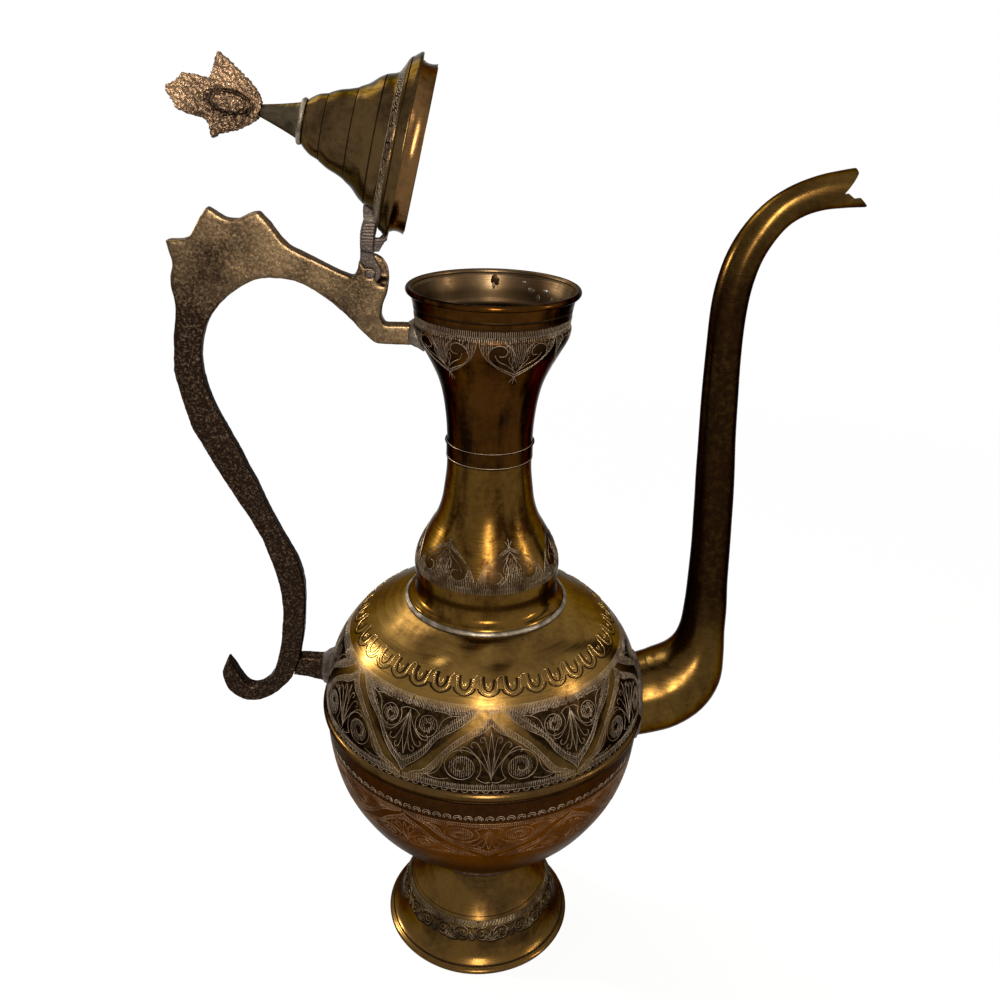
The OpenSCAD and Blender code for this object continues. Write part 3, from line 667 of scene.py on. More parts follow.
def palmette(y, tips, up=1):
    """Leaves that rise from one point and curl over to each side, round a plain pointed leaf."""
    first = tips[0][1]
    out = paired(5, [(0, 0), (-1.2, first * 0.45), (0, first + 1.6)])
    for a, b in tips:
        out += paired(4, [(0.15, 0.1 * b), (0.34 * a, 0.55 * b), (0.78 * a, 0.93 * b),
                          (a + 0.7, b - 0.2), (a + 1.3, b - 1.5), (a + 0.5, b - 2.2)])
    return [[(a, y + up * b) for a, b in line] for line in out]


HALF_STEP, FRINGE_HALF = 31.4, 31.2


def across_step(y):
    return [(-HALF_STEP, y), (0, y), (HALF_STEP, y)]


def scrolls(x, y, radius, start, turns, way, points, hatch, eye, seed, tick):
    """Two facing scrolls, and as a second list the hatching between their turns."""
    drawn = both_sides(curl(-x, y, radius, start, turns, way, points))
    fill = [line for a in (-x, x)
            for line in hatched(circle(a, y, hatch), circle(a, y, eye), seed, 0.7, tick)]
    return drawn, fill


def arch_motif():
    """A pointed arch that stands on a line and holds two scrolls and a fan of leaves."""
    rim = rounded([(-30.4, 0.8), (-27, 3.4), (-23.2, 5.4), (-18.9, 11), (-14.2, 16.8), (-7.9, 21.9),
                   (-3.1, 25.2), (0, 29.4)], 4)
    field = rounded([(-26, 2.6), (-22, 4), (-19.4, 7), (-17, 11.2), (-12.8, 15.6), (-7.4, 19.8),
                     (-3.4, 21.6), (0, 24.6)], 4)
    drawn, fill = scrolls(10.2, 8.9, 6.8, -40, 2.1, 1, 46, 4.4, 1.3, 5, 1.5)
    lines = both_sides(rim) + both_sides(field) + drawn
    lines += paired(4, [(-0.3, 3), (-2.4, 2.8), (-5, 4.5)],
                    [(-16.6, 11.4), (-17.8, 7), (-20.6, 4.2), (-24.2, 3.2)],
                    [(-14.6, 3.6), (-18, 2.7), (-21.4, 3.1), (-22.4, 4.4)])
    lines += palmette(4, ((2.7, 16.6), (5.9, 14.6), (9.6, 12.6)))
    lines += hatched(closed(rim), closed(field) + [(12, 1.9), (0, 2.4), (-12, 1.9)], 3)
    return lines + fill + fringe(FRINGE_HALF, -0.3, 1.9, 7, 0.66) + [across_step(-0.5)]


def drop_motif(x):
    """A triangle that hangs from a line, with two scrolls at the top and leaves to its tip."""
    side = rounded([(-27.5, 29.5), (-23, 25.5), (-17.5, 21.6), (-12, 17.8), (-8.4, 12), (-5, 8),
                    (-2, 5.2), (0, 2.2)], 4)
    drawn, fill = scrolls(7.6, 22.2, 4.7, 40, 2.0, -1, 42, 3.1, 1.0, 13, 1.3)
    lines = both_sides(side)
    lines += paired(4, [(-22, 27.8), (-16.5, 23.5), (-11.5, 19.2), (-7.6, 13.6), (-3.6, 9.2),
                        (0, 6.6)])
    lines += drawn
    lines += paired(4, [(0, 26.4), (-2, 26.4), (-4, 25.2)],
                    [(-12.2, 21.4), (-13.2, 24.6), (-16, 26.6), (-19.4, 27.2)],
                    [(-9.6, 27.6), (-13.4, 27.7), (-16.4, 26.9)])
    lines += palmette(26, ((2.6, 15.2), (4.9, 12.6), (7.3, 9.6)), -1)
    bare = closed([(-19, 27.4), (-14, 23), (-9.6, 18), (-6.4, 13.2), (-3, 10), (0, 8.2)])
    lines += hatched(closed(side), bare, 11)
    return [[(a + x, b) for a, b in line] for line in lines + fill]


def belt_motif():
    """One step of a belt: an arch, and the near half of the drop on each side of it."""
    drops = drop_motif(HALF_STEP) + drop_motif(-HALF_STEP)
    return arch_motif() + [line for line in drops if all(abs(q[0]) <= 31.5 for q in line)]


def scallops(count, y, radius, way):
    """A row of half rings, open at the foot or, with way -1, at the top."""
    width = tau * BELT_R / 6
    out = []
    for k in range(count):
        x = -width / 2 + (k + 0.5) * width / count
        out.append([polar(x, y, radius, way * radians(a)) for a in range(-18, 199, 24)])
    return out


BELT_R = 60
garland = [[(-8.1 + 0.7 * k, 6.8), (-7.3 + 0.7 * k, 9.2)] for k in range(24)]
garland += both_sides(curl(-4.6, 4.1, 2.2, 60, 1.3, 1, 18))
garland += paired(4, [(-8.4, 1.9), (-7.2, 4.6), (-5.8, 1.6), (-3.4, 0.9), (-2.3, 2.2), (-3.2, 3.0)],
                  [(-8.2, 6.2), (-5, 6.7), (-1.6, 5.8), (-0.6, 3.6), (-1.6, 2.6)])
garland += leaf_fan(0, 0.4, 5.2, 62, 5, 0.7) + leaf_fan(-8.4, 0.9, 4, 30, 2, 0.6)
rope = [[(-7.9 + 1.4 * k, 7), (-7 + 1.4 * k, 9)] for k in range(12)]
# Under each leaf stroke, set a little to one side and lower, a broad near-black stroke: painted
# shadow under the chased leaves.
leaf_shadows = [[(x + 0.25, y - 0.5) for x, y in line] for line in garland if len(line) > 2]
chased_brass = cut_metal("chased_brass", (0.09, 0.064, 0.036), (0.02, 0.0125, 0.007), 0.95,
                         roughness=0.34)
for name, lines, wide, tall, metal in (
        ("foot_garland_strokes", garland, 0.75, 0.2, chased_brass),
        ("foot_garland_rope", rope, 1.0, 0.32, chased_brass),
        ("foot_garland_grooves", leaf_shadows, 1.5, 0.03, dirt_and_shade_brass)):
    engraved(name, lines, foot_curve, 12.6, 32, SMALL_DENTS, 12, 8.0, wide, tall, metal)
ringed("foot_edge_groove", foot_curve, 2.9, 39, 1.1, SMALL_DENTS)
ringed("foot_border_groove", foot_curve, 22.0, 29, 0.5, SMALL_DENTS)
copper_strokes = cut_metal("copper_strokes", (0.205, 0.118, 0.066), (0.03, 0.013, 0.006), 0.8, 0.8)
engraved("lower_bowl_strokes", flipped(belt_motif(), 20, 0.66), lower_curve, 86.0, BELT_R,
         BOWL_DENTS, width=0.28, metal=copper_strokes)
ringed("under_bead_shade", lower_curve, 116.0, BELT_R, 1.5, BOWL_DENTS)
engraved("lower_bowl_scallops", scallops(17, 0, 1.45, 1) + scallops(17, -0.4, 0.95, 1), lower_curve,
         108.3, BELT_R, BOWL_DENTS, width=0.38)

# The bead over the belly seam: half-round brass wire, bent to a ring and soldered on. It stops
# at the solder of the spout's root.
BEAD, BEAD_GAP_R = 2.0, 19.3
BEAD_R, BEAD_Z, BEAD_BACK = 0.998 * BELLY + 1.5 - BEAD, SEAM + BEAD / 2, BELLY - 1.2
ring = [polar(BEAD_R, BEAD_Z, BEAD, radians(a)) for a in range(-75, 76, 10)]
polished_brass = brass("polished_brass", (0.068, 0.037, 0.012), (0.012, 0.006, 0.002), 0.75, 26.0,
                       0.15, 0.2)
bead = turned("belly_bead", ring + [(BEAD_BACK, ring[-1][1]), (BEAD_BACK, ring[0][1])], 256)
hand_worked(bead, 0.05, 26)
cut(bead, rod("bead_gap", BEAD_GAP_R, 30, 90))
dress(bead, polished_brass, "vessel", "turned_brass", "belly_band")

# The bowl's upper half: spun like the lower one and soldered to it at the belly. It carries the
# main belt of engraving, and a ring of punched loops where the shoulder begins.
SHOULDER = 167.5
upper_curve = profile((
    (0.998, 0), (0.994, 0.12), (0.979, 0.26), (0.938, 0.465), (0.86, 0.646), (0.745, 0.81),
    (0.63, 0.9), (0.523, 0.962), (0.43, 0.99), (0.37, 1)), 0, BELLY, SEAM, SHOULDER)
bowl_brass = brass("upper_bowl_brass", (0.165, 0.092, 0.023), (0.05, 0.025, 0.007), 0.6, 30.0, 0.15,
                   0.2, {"Points": 0.35, **dirt((0.007, 0.0037, 0.0018), 0.1195, 0.1515, 1.0,
                                                start=1.02, fall=0.98)})
upper_bowl = turned("bowl_upper_half", walled(upper_curve, (-1, 0), (0, -1)))
hand_worked(upper_bowl, *BOWL_DENTS)
KNOCKS = ((Vector((-20, -36, 162)), 6.0, 1.3), (Vector((2, -41, 162)), 5.0, 1.0))
for vert in upper_bowl.data.vertices:
    for knock, reach, depth in KNOCKS:
        off = (vert.co / MM - knock).length
        if off < 3 * reach:
            vert.co -= vert.co.normalized() * depth * exp(-(off / reach) ** 2) * MM
cut(upper_bowl, rod(*WATER_HOLE))
dress(upper_bowl, bowl_brass, "vessel", "engraved_brass", "upper_bowl")
upper_lines = belt_motif() + [across_step(31.3)] + fringe(FRINGE_HALF, 28.7, 31.2, 17, 0.66)
engraved("upper_bowl_strokes", upper_lines, upper_curve, 122.6, BELT_R, BOWL_DENTS, width=0.24)
engraved("upper_bowl_scallops", scallops(18, 0, 1.1, -1), upper_curve, 121.9, BELT_R, BOWL_DENTS,
         width=0.34)
bow = rounded([(-2.1, 4.6), (-2.1, 2.4), (-1.6, 0.9), (0, 0), (1.6, 0.9), (2.1, 2.4), (2.2, 3.8),
               (3.1, 4.9), (4, 4.3)], 4)
# Each punched loop is a raised lip in brighter brass, a painted highlight, with a near-black stroke
# below it and one inside it as painted shadow.
lips, loop_shadows = [], []
for x in (-15.7, -9.4, -3.1, 3.1, 9.4, 15.7):
    lips.append([(a * 1.06 + x, b * 1.5) for a, b in bow])
    lips.append([(a * 0.3 + x - 0.2, b * 0.9 + 2.6) for a, b in bow[5:20]])
    loop_shadows.append([(a * 1.4 + x, b * 1.5 - 0.8) for a, b in bow[5:20]])
    loop_shadows.append([(a * 0.66 + x, b * 1.35 + 1.1) for a, b in bow[1:24]])
raised_brass = brass("raised_brass", (0.26, 0.16, 0.055), (0.1, 0.056, 0.018), 0.6, 60.0, 0.1, 0.16)
engraved("shoulder_loop_lips", lips, upper_curve, 154.6, 36, BOWL_DENTS, 6, 4.0, 0.85, 0.3,
         raised_brass)
engraved("shoulder_loop_grooves", loop_shadows, upper_curve, 154.6, 36, BOWL_DENTS, 6, 4.0, 0.75, 0.04,
         dirt_and_shade_brass)

# The neck's lower length: spun with a swelling and a flat flange, and soldered to the shoulder.
# Its engraved points stand on a plain polished band.
BULB, WAIST, LAP = 28.2, 15.8, 226.5
neck_low_curve = profile((
    (1.24, -0.02), (1.2, 0.01), (1.06, 0.03), (0.975, 0.055), (0.96, 0.11), (0.99, 0.178),
    (1, 0.245), (0.95, 0.32), (0.79, 0.407), (0.524, 0.508), (0.306, 0.593), (0.153, 0.695),
    (0.073, 0.805), (0.016, 0.907), (0, 1)), WAIST, BULB, SHOULDER, LAP)
NECK_DIRT = (0.018, 0.009, 0.004)
neck_brass = brass(
    "neck_brass", (0.11, 0.057, 0.011), (0.018, 0.007, 0.0015), 0.5, 24.0, 0.75, 0.15,
    {"Points": 1.0,
     **dirt(NECK_DIRT, 0.1812, 0.2, 0.8, turn=0.31, start=1.45, fall=0.75, half=0.45)})
neck_low = turned("neck_lower_length", walled(neck_low_curve), 160)
hand_worked(neck_low, *SMALL_DENTS)
dress(neck_low, neck_brass, "vessel", "engraved_brass", "neck_lower")


def pendant_motif():
    """A pointed drop that hangs from a hatched border, with two curling leaves from its tip."""
    side = rounded([(-12.9, 19.5), (-12.3, 15), (-9.8, 10), (-5.6, 6), (-2, 3.8), (0, 2.6)], 4)
    lines = both_sides(side)
    lines += paired(5, [(0, 3.8), (-3.2, 5.6), (-7.4, 8), (-9.9, 11.6), (-9.2, 15.2), (-6.2, 16.6),
                        (-4, 14.8), (-4.6, 12.6), (-6.4, 12.4)],
                    [(0, 4.4), (-1.9, 8), (-1.5, 12), (-2.4, 15), (-4.4, 17)])
    lines += paired(4, [(-0.6, 5.4), (-3.6, 8.2), (-6.6, 10.2), (-7.9, 13)],
                    [(-0.9, 6.8), (-3, 9.8), (-3.3, 12.2)])
    lines += [[(-1.6, 0.2), (0.2, 3)], [(1.6, 0.2), (-0.2, 3)], [(0, -0.6), (0, 2.4)]]
    leaf = closed([(0, 3.8), (-3.2, 5.6), (-7.4, 8.2), (-9.9, 12), (-9.2, 15.4), (-6.2, 16.8),
                   (-3.8, 15), (-2.2, 10.4), (0, 6.5)])
    return lines + hatched(closed(side), leaf, 19, 0.66, 2.0) + fringe(13.1, 18.6, 21.4, 23, 0.62)


bulb_metal = cut_metal("bulb_strokes", (0.2, 0.15, 0.1), (0.014, 0.008, 0.005), 0.9, 0.9)
engraved("neck_bulb_strokes", flipped(pendant_motif(), 20.3, 0.94, 1.12), neck_low_curve, 181.6, 28,
         SMALL_DENTS, turn_by=18.5, width=0.33, relief=0.12, metal=bulb_metal)

# The neck's upper length: a flared tube that laps over the lower one, with two scribed lines at
# the lap and a rolled rim. Engraved points hang below the plain band under the rim.
RIM, RIM_R, ROLL = 290.0, 31.0, 1.1
THROAT = RIM_R - 2 * ROLL + SHEET / 2
neck_up_curve = profile((
    (0.026, 0), (0.026, 0.1), (0.012, 0.11), (0.015, 0.15), (0.045, 0.244), (0.12, 0.362),
    (0.237, 0.465), (0.42, 0.56), (0.65, 0.654), (0.845, 0.732), (0.9, 0.785), (0.86, 0.808),
    (0.89, 0.835), (0.92, 0.89), (0.978, 0.945), (1.01, 0.975)), WAIST, THROAT, LAP, RIM)
neck_outline = walled(neck_up_curve)
outer_end = len(neck_up_curve)
roll = [polar(RIM_R - ROLL, RIM - ROLL, ROLL, radians(a)) for a in range(-100, 215, 15)]
neck_up = turned("neck_upper_length",
                 neck_outline[:outer_end - 3] + roll + neck_outline[outer_end + 3:])
hand_worked(neck_up, *SMALL_DENTS)
neck_top_brass = brass(
    "neck_top_brass", (0.048, 0.018, 0.003), (0.007, 0.0027, 0.001), 0.6, 28.0, 1.0, 0.15,
    {"Points": 1.0, "Inside": (0.085, 0.056, 0.03), "Inside Amount": 1.0,
     **dirt(NECK_DIRT, 0.2625, 0.2825, 0.8, turn=0.283, start=-0.4, fall=-0.75, half=0.45)})
dress(neck_up, neck_top_brass, "vessel", "engraved_brass", "neck_upper")
engraved("neck_pendant_strokes", pendant_motif(), neck_up_curve, 261.3, 25, SMALL_DENTS, turn_by=17,
         width=0.27)
ringed("neck_border_groove", neck_up_curve, 283.6, 28, 1.3, SMALL_DENTS)
engraved("neck_scribed_lines", [[(-8.4, y), (8.4, y)] for y in (0, 5.6)], neck_up_curve, 227.2, 16,
         SMALL_DENTS, width=0.5, relief=0.09)

# Inside the mouth: a small tab below the rim at the back, and splashes of solder beside it.
# They were left on the wall when the ewer was put together.


def splash(bm, bearing, z, wide, tall, thick):
    """One rounded lump on the inner wall of the mouth."""
    for (r0, z0), (r1, z1) in zip(neck_up_curve, neck_up_curve[1:]):
        if z0 <= z < z1:
            wall = r0 + (r1 - r0) * (z - z0) / (z1 - z0) - SHEET
    a = radians(bearing)
    made = bmesh.ops.create_uvsphere(bm, u_segments=20, v_segments=12, radius=1.0)
    for vert in made["verts"]:
        q = vert.co * (1 + 0.35 * noise.noise(vert.co * 1.7 + Vector((bearing, z, 0))))
        r, side = wall - q.x * thick, q.y * wide
        vert.co = Vector((r * sin(a) + side * cos(a),
                          side * sin(a) - r * cos(a), z + q.z * tall)) * MM


tab, drips = bmesh.new(), bmesh.new()
splash(tab, 176, 285.6, 1.6, 2.3, 0.5)
for bearing, z, wide, tall, thick in (
        (177, 284.2, 0.55, 1.3, 0.9), (146, 283.5, 1.6, 0.9, 0.2), (139, 281.0, 1.0, 1.4, 0.2),
        (131, 284.0, 1.8, 0.7, 0.2), (124, 281.5, 0.8, 0.9, 0.2), (153, 286.0, 0.9, 0.5, 0.2)):
    splash(drips, bearing, z, wide, tall, thick)
mouth_tab = as_object("mouth_tab", tab, 60)
dress(mouth_tab, dirt_and_shade_brass, "vessel", "solder")
mouth_drips = as_object("mouth_solder_splashes", drips, 60)

# The spout: a tube raised from sheet, swollen at its root, drawn thin as it rises and bent out
# over to a lip that is cut into two jaws. Its inside opens to the bowl.
REACH, RISE, ROOT_R, PIPE_R = 62.7, 215, 17.3, 7.5
tube_stations = [(BELLY + x * REACH, SPOUT_Z + z * RISE, r * size) for size, shares in (
    (ROOT_R, (
        (-0.144, -0.006, 0.96), (-0.048, -0.003, 0.98), (0.048, 0.004, 0.995), (0.16, 0.015, 1),
        (0.265, 0.038, 0.96), (0.338, 0.069, 0.845), (0.38, 0.109, 0.65), (0.395, 0.151, 0.535))),
    (PIPE_R, (
        (0.397, 0.198, 1.14), (0.39, 0.253, 1.067), (0.38, 0.323, 1.02), (0.367, 0.407, 1),
        (0.351, 0.472, 0.973), (0.335, 0.537, 0.933), (0.319, 0.616, 0.9), (0.308, 0.691, 0.86),
        (0.305, 0.756, 0.853), (0.319, 0.807, 0.847), (0.359, 0.855, 0.827), (0.424, 0.893, 0.8),
        (0.514, 0.925, 0.767), (0.622, 0.946, 0.755), (0.742, 0.959, 0.785), (0.853, 0.965, 0.83),
        (0.933, 0.968, 0.87), (1.013, 0.97, 0.9)))) for x, z, r in shares]


def hollow_tube(name, stations, wall, sides=56):
    """A tube swept along (x, z, radius) in the plane of the handle and the spout."""
    bm = bmesh.new()
    shells = []
    for inset in (0, wall):
        rows = []
        for i, (x, z, r) in enumerate(stations):
            before, after = stations[max(i - 1, 0)], stations[min(i + 1, len(stations) - 1)]
            way = Vector((after[0] - before[0], after[1] - before[1])).normalized()
            rows.append([bm.verts.new(Vector((
                x - way.y * (r - inset) * cos(a), (r - inset) * sin(a),
                z + way.x * (r - inset) * cos(a))) * MM)
                for a in (tau * k / sides for k in range(sides))])
        shells.append(rows)
    outer, inner = shells
    strips = [pair for rows in shells for pair in zip(rows, rows[1:])]
    for low, high in strips + [(outer[0], inner[0]), (outer[-1], inner[-1])]:
        for k in range(sides):
            n = (k + 1) % sides
            bm.faces.new((low[k], low[n], high[n], high[k]))
    return as_object(name, bm)


def slab(name, points, y0, y1):
    """A flat shape drawn in (x, z), given a thickness across."""
    bm = bmesh.new()
    front, back = ([bm.verts.new(Vector((x, y, z)) * MM) for x, z in points] for y in (y0, y1))
    bm.faces.new(front)
    bm.faces.new(back)
    for k in range(len(points)):
        n = (k + 1) % len(points)
        bm.faces.new((front[k], front[n], back[n], back[k]))
    return as_object(name, bm)


def skin_of(piece):
    """The piece's points, each with the direction of the skin there before anything moves."""
    return [(vert, vert.normal.copy()) for vert in piece.data.vertices]


def uneven(piece, depth, size, still=lambda spot: 0.0):
    """Moves the skin in and out along its own direction, but not where still gives 1."""
    for vert, normal in skin_of(piece):
        vert.co += (normal * noise.noise(vert.co / (size * MM)) * depth * MM
                    * (1 - still(vert.co / MM)))


TIP_X, TIP_Z = BELLY + REACH, SPOUT_Z + 0.97 * RISE
JAW_LONG, JAW_TALL = 9, 7.5
jaw_line = [(TIP_X - x * JAW_LONG, TIP_Z + z * JAW_TALL) for x, z in (
    (0.62, 1.4), (0.65, 0.62), (1.16, -0.25), (0.78, -0.47), (0.5, -0.42),
    (0.1, -0.8), (0.05, -1.4))]
jaw_cut = slab("jaw_cut", jaw_line + [(TIP_X + 30, TIP_Z - 15), (TIP_X + 30, TIP_Z + 15),
                                      (jaw_line[0][0], TIP_Z + 15)], -16, 16)
bowl_core = turned("bowl_core", lower_curve + upper_curve + [(0, SHOULDER)], 96)
spout = hollow_tube("spout_tube", rounded(tube_stations, 4), SHEET)
uneven(spout, 0.16, 14)
cut(spout, jaw_cut, bowl_core)
spout.data.shade_smooth()
spout.data.set_sharp_from_angle(angle=radians(35))
# From a little above its root nearly to the lip, the spout is turned dark brown through the dirt
# band, with soft ends: painted shade that stands for a dark reflection.
spout_brass = brass(
    "spout_brass", (0.11, 0.061, 0.014), (0.028, 0.013, 0.004), 0.65, 32.0, 0.2, 0.13,
    {"Dirt Edge": 0.05, **dirt((0.011, 0.0045, 0.0015), 0.12, 0.34, 1.0)})
dress(spout, spout_brass, "vessel", "tube_brass", "spout")

# The handle: one flat brass casting in sand, with a toothed crest, a curled end and the lug of
# the lid's hinge. Its skin is grainy and dark brown low down. Along the crest and the arm it is
# gold, partly rubbed wear and partly a painted highlight, and its narrow edges carry painted shade.
cast, given, gives = new_look("Cast skin", {
    "Rubbed": BROWN, "Patina": BROWN, "Speck": BROWN, "Rise Along": (0.0, 0.0, 1.0),
    "Rubbed From": 0.15, "Rubbed To": 0.3, "Grain Scale": 900.0, "Speck Amount": 0.4,
    "Roughness": 0.42, "Side From": -1.0, "Side To": -0.5})
place = cast.place()
blotch = cast.clouds(place, 34.0, 5.0, 0.6)
sand = cast.clouds(place, given["Grain Scale"], 3.0, 0.7)
grit = cast.value("ShaderNodeTexVoronoi", {
    "Vector": place, "Scale": cast.times(given["Grain Scale"], 1.4)})
# Gold rises along Rise Along: rubbed wear, and on the handle, whose slant runs up the arm, also a
# painted highlight along the arm and the crest.
worn_and_lit_rise = cast.rising(cast.dot(place, given["Rise Along"]), given["Rubbed From"], given["Rubbed To"])
worn_and_highlit = cast.value("ShaderNodeClamp", {0: cast.plus(
    cast.times(worn_and_lit_rise, cast.rising(blotch, 0.36, 0.6, 0.25, 1.0)),
    cast.rising(sand, 0.3, 0.7, -0.13, 0.13))})
# Where the hand's attribute marks the groove round the oval, the gold is taken away: painted shade
# in the groove.
hollow = cast.node("ShaderNodeAttribute", attribute_name="hollow").outputs["Fac"]
# On the narrow edges, near the casting's middle plane, the gold is cut back to 0.6: painted shade
# on the rounded edges.
from_middle = cast.maths("ABSOLUTE", cast.parts(place)[1])
worn_and_highlit = cast.times(worn_and_highlit, cast.minus(1.0, hollow),
                    cast.rising(from_middle, given["Side From"], given["Side To"], 0.6, 1.0))
skin = cast.between(worn_and_highlit, given["Patina"], given["Rubbed"])
skin = cast.between(cast.rising(sand, 0.5, 0.72, 0.0, 0.14), skin, given["Speck"])
speck = cast.times(cast.rising(grit, 0.08, 0.22, 1.0, 0.0),
                   cast.rising(blotch, 0.36, 0.56, 0.15, 1.0), given["Speck Amount"])
cast.fill(gives["Color"], cast.between(speck, skin, given["Speck"]))
cast.fill(gives["Roughness"], cast.plus(
    given["Roughness"], cast.rising(sand, 0.3, 0.7, -0.08, 0.12)))
cast.fill(gives["Height"], cast.plus(sand, cast.times(grit, -0.25)))


def reworked(piece, change):
    """Works on the piece's mesh with the change, in place."""
    bm = bmesh.new()
    bm.from_mesh(piece.data)
    change(bm)
    bm.to_mesh(piece.data)
    bm.free()


def recast(source, name, voxel, passes=2):
    """A copy of a solid as one even skin with its sharp edges softened, as a casting has them."""
    piece = placed(name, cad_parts[source].data.copy())
    piece.data.name = name
    reworked(piece, lambda bm: bmesh.ops.remove_doubles(bm, verts=bm.verts, dist=2e-6))
    skin_maker = piece.modifiers.new("skin", "REMESH")
    skin_maker.mode = "VOXEL"
    skin_maker.voxel_size = voxel * MM
    baked(piece)
    for _ in range(passes):
        reworked(piece, lambda bm: bmesh.ops.smooth_vert(
            bm, verts=bm.verts, factor=0.5, use_axis_x=True, use_axis_y=True, use_axis_z=True))
    piece.data.shade_smooth()
    return piece


PIN = Vector((-42.7, 0, 294.0))
FILED_R, FILED_EDGE = 14, 5


def by_the_pin(spot):
    """1 close to the hinge, where the casting is filed true."""
    return max(0.0, min(1.0, (FILED_R - hypot(spot.x - PIN.x, spot.z - PIN.z)) / FILED_EDGE))


handle_metal = finish("handle_casting", cast, {
    "Rubbed": (0.172, 0.111, 0.057), "Patina": (0.014, 0.007, 0.0042), "Speck": (0.42, 0.32, 0.21),
    "Rise Along": (0.5, 0, 0.85), "Rubbed From": 0.172, "Rubbed To": 0.238, "Side From": 0.0012,
    "Side To": 0.0026, "Grain Scale": 1100.0, "Speck Amount": 0.2, "Roughness": 0.29},
    0.95, 0.22, 0.0003)
handle = recast("handle", "handle_casting", 0.5, 9)
uneven(handle, 0.3, 9, by_the_pin)
uneven(handle, 0.08, 1.5, by_the_pin)
dress(handle, handle_metal, "vessel", "cast_brass", "handle")
strut = recast("handle_strut", "handle_strut_bar", 0.4)
uneven(strut, 0.2, 4)
dress(strut, handle_metal, "vessel", "cast_brass", "handle_strut")

# The solder: soft tin run round each joint and left lumpy, grey where it is clean, and brown
# where smoke and polish have settled.
tin, given, gives = new_look("Solder", {"Clean": BROWN, "Sooty": BROWN, "Sooty Amount": 0.6})
place = tin.place()
smoke = tin.clouds(place, 160.0, 5.0, 0.65)
soot = tin.times(tin.rising(smoke, 0.35, 0.62), given["Sooty Amount"])
tin.fill(gives["Color"], tin.between(soot, given["Clean"], given["Sooty"]))
tin.fill(gives["Roughness"], tin.rising(smoke, 0.3, 0.7, 0.34, 0.6))
tin.fill(gives["Height"], tin.plus(tin.clouds(place, 1100.0, 3.0), smoke))


def solder(name, clean, sooty, share, metallic, bump):
    return finish(name, tin, {"Clean": clean, "Sooty": sooty, "Sooty Amount": share},
                  metallic, bump, 0.0003)


splashed = solder("splashed_solder", (0.2, 0.165, 0.13), (0.04, 0.028, 0.018), 0.8, 0.8, 0.5)
clean = solder("clean_solder", (0.25, 0.21, 0.16), (0.05, 0.036, 0.023), 0.8, 0.85, 0.5)
sooty = solder("sooty_solder", (0.085, 0.07, 0.055), (0.025, 0.016, 0.011), 0.9, 0.5, 0.6)
brown = solder("brown_solder", (0.05, 0.024, 0.012), (0.02, 0.009, 0.005), 0.9, 0.7, 0.4)
dress(mouth_drips, splashed, "vessel", "solder")
for source, metal, voxel, lumps, body in (
        ("foot_solder", brown, 0.3, 1, "vessel"), ("neck_solder", clean, 0.25, 0.3, "vessel"),
        ("spout_solder", sooty, 0.35, 1, "vessel"),
        ("handle_top_solder", splashed, 0.3, 1, "vessel"),
        ("handle_strut_solder", sooty, 0.3, 1, "vessel"), ("lid_arm_solder", sooty, 0.25, 1, "lid"),
        ("stem_solder", clean, 0.2, 0.3, "lid")):
    joint = recast(source, source + "_run", voxel, 3)
    uneven(joint, 0.35 * lumps, 3)
    uneven(joint, 0.12 * lumps, 1.1)
    dress(joint, metal, body, "solder", source)

# The hinge: a rivet through the two cheeks of the lug, headed over low at both ends, and the
# lid's cast arm, whose knuckle turns on it. Both are filed and dark.
head = [(0, -3.82), (0.8, -3.8), (1.25, -3.74), (1.5, -3.66), (1.08, -3.62)]
rivet = turned("hinge_rivet", head + [(r, -y) for r, y in head[::-1]], 40)
rivet.data.transform(Matrix.Translation(PIN * MM) @ Matrix.Rotation(pi / 2, 4, "X"))
dark_metal = finish("dark_casting", cast, {
    "Rubbed": (0.12, 0.091, 0.073), "Patina": (0.04, 0.03, 0.026), "Speck": (0.3, 0.25, 0.22),
    "Rubbed From": 0.2, "Rubbed To": 0.4, "Grain Scale": 1100.0, "Speck Amount": 0.3},
    0.85, 0.5, 0.0003)
dress(rivet, dark_metal, "vessel", "pin_brass", "hinge_pin")
ARM_FULLER, ARM_RIPPLE = 0.45, 0.16
arm = recast("lid_arm", "lid_arm_casting", 0.25, 5)
for vert, normal in skin_of(arm):
    spot = vert.co / MM
    ripple = ARM_RIPPLE * sin(spot.z * 6 + 2 * noise.noise(spot * 0.4))
    vert.co += normal * (ARM_FULLER + ripple) * (1 - by_the_pin(spot)) * MM
dress(arm, dark_metal, "lid", "dark_casting", "lid_arm")

# The lid's dome: spun with three stepped rings and a flared brim, and engraved with a narrow
# band of leaves above the brim. It is made shut, and then swung open about the rivet.
OPEN = radians(77.5)
swing = (Matrix.Translation(PIN * MM) @ Matrix.Rotation(-OPEN, 4, "Y")
         @ Matrix.Translation(-PIN * MM))
BRIM_R, BRIM_Z, TOP_R, STEM_Z, HAND_Z = 29.5, 290.6, 6.4, 324.6, 337.8
LID_DENTS = (0.1, 20)
dome_curve = profile((
    (1, 0), (1, 0.024), (0.935, 0.076), (0.883, 0.118), (0.78, 0.15), (0.688, 0.185), (0.65, 0.226),
    (0.615, 0.29), (0.554, 0.356), (0.442, 0.438), (0.372, 0.515), (0.352, 0.53), (0.303, 0.612),
    (0.26, 0.7), (0.198, 0.78), (0.18, 0.793), (0.139, 0.876), (0.082, 0.935), (0.026, 0.976),
    (0, 1)), TOP_R, BRIM_R, BRIM_Z, STEM_Z)
dome = turned("lid_dome_shell", walled(dome_curve), 160)
hand_worked(dome, *LID_DENTS)
dome.data.transform(swing)
lid_brass = brass("lid_brass", (0.08, 0.047, 0.019), (0.013, 0.008, 0.004), 0.6, 55.0, 0.2, 0.17,
                  rim=(0.43, 0.44, 0.43))
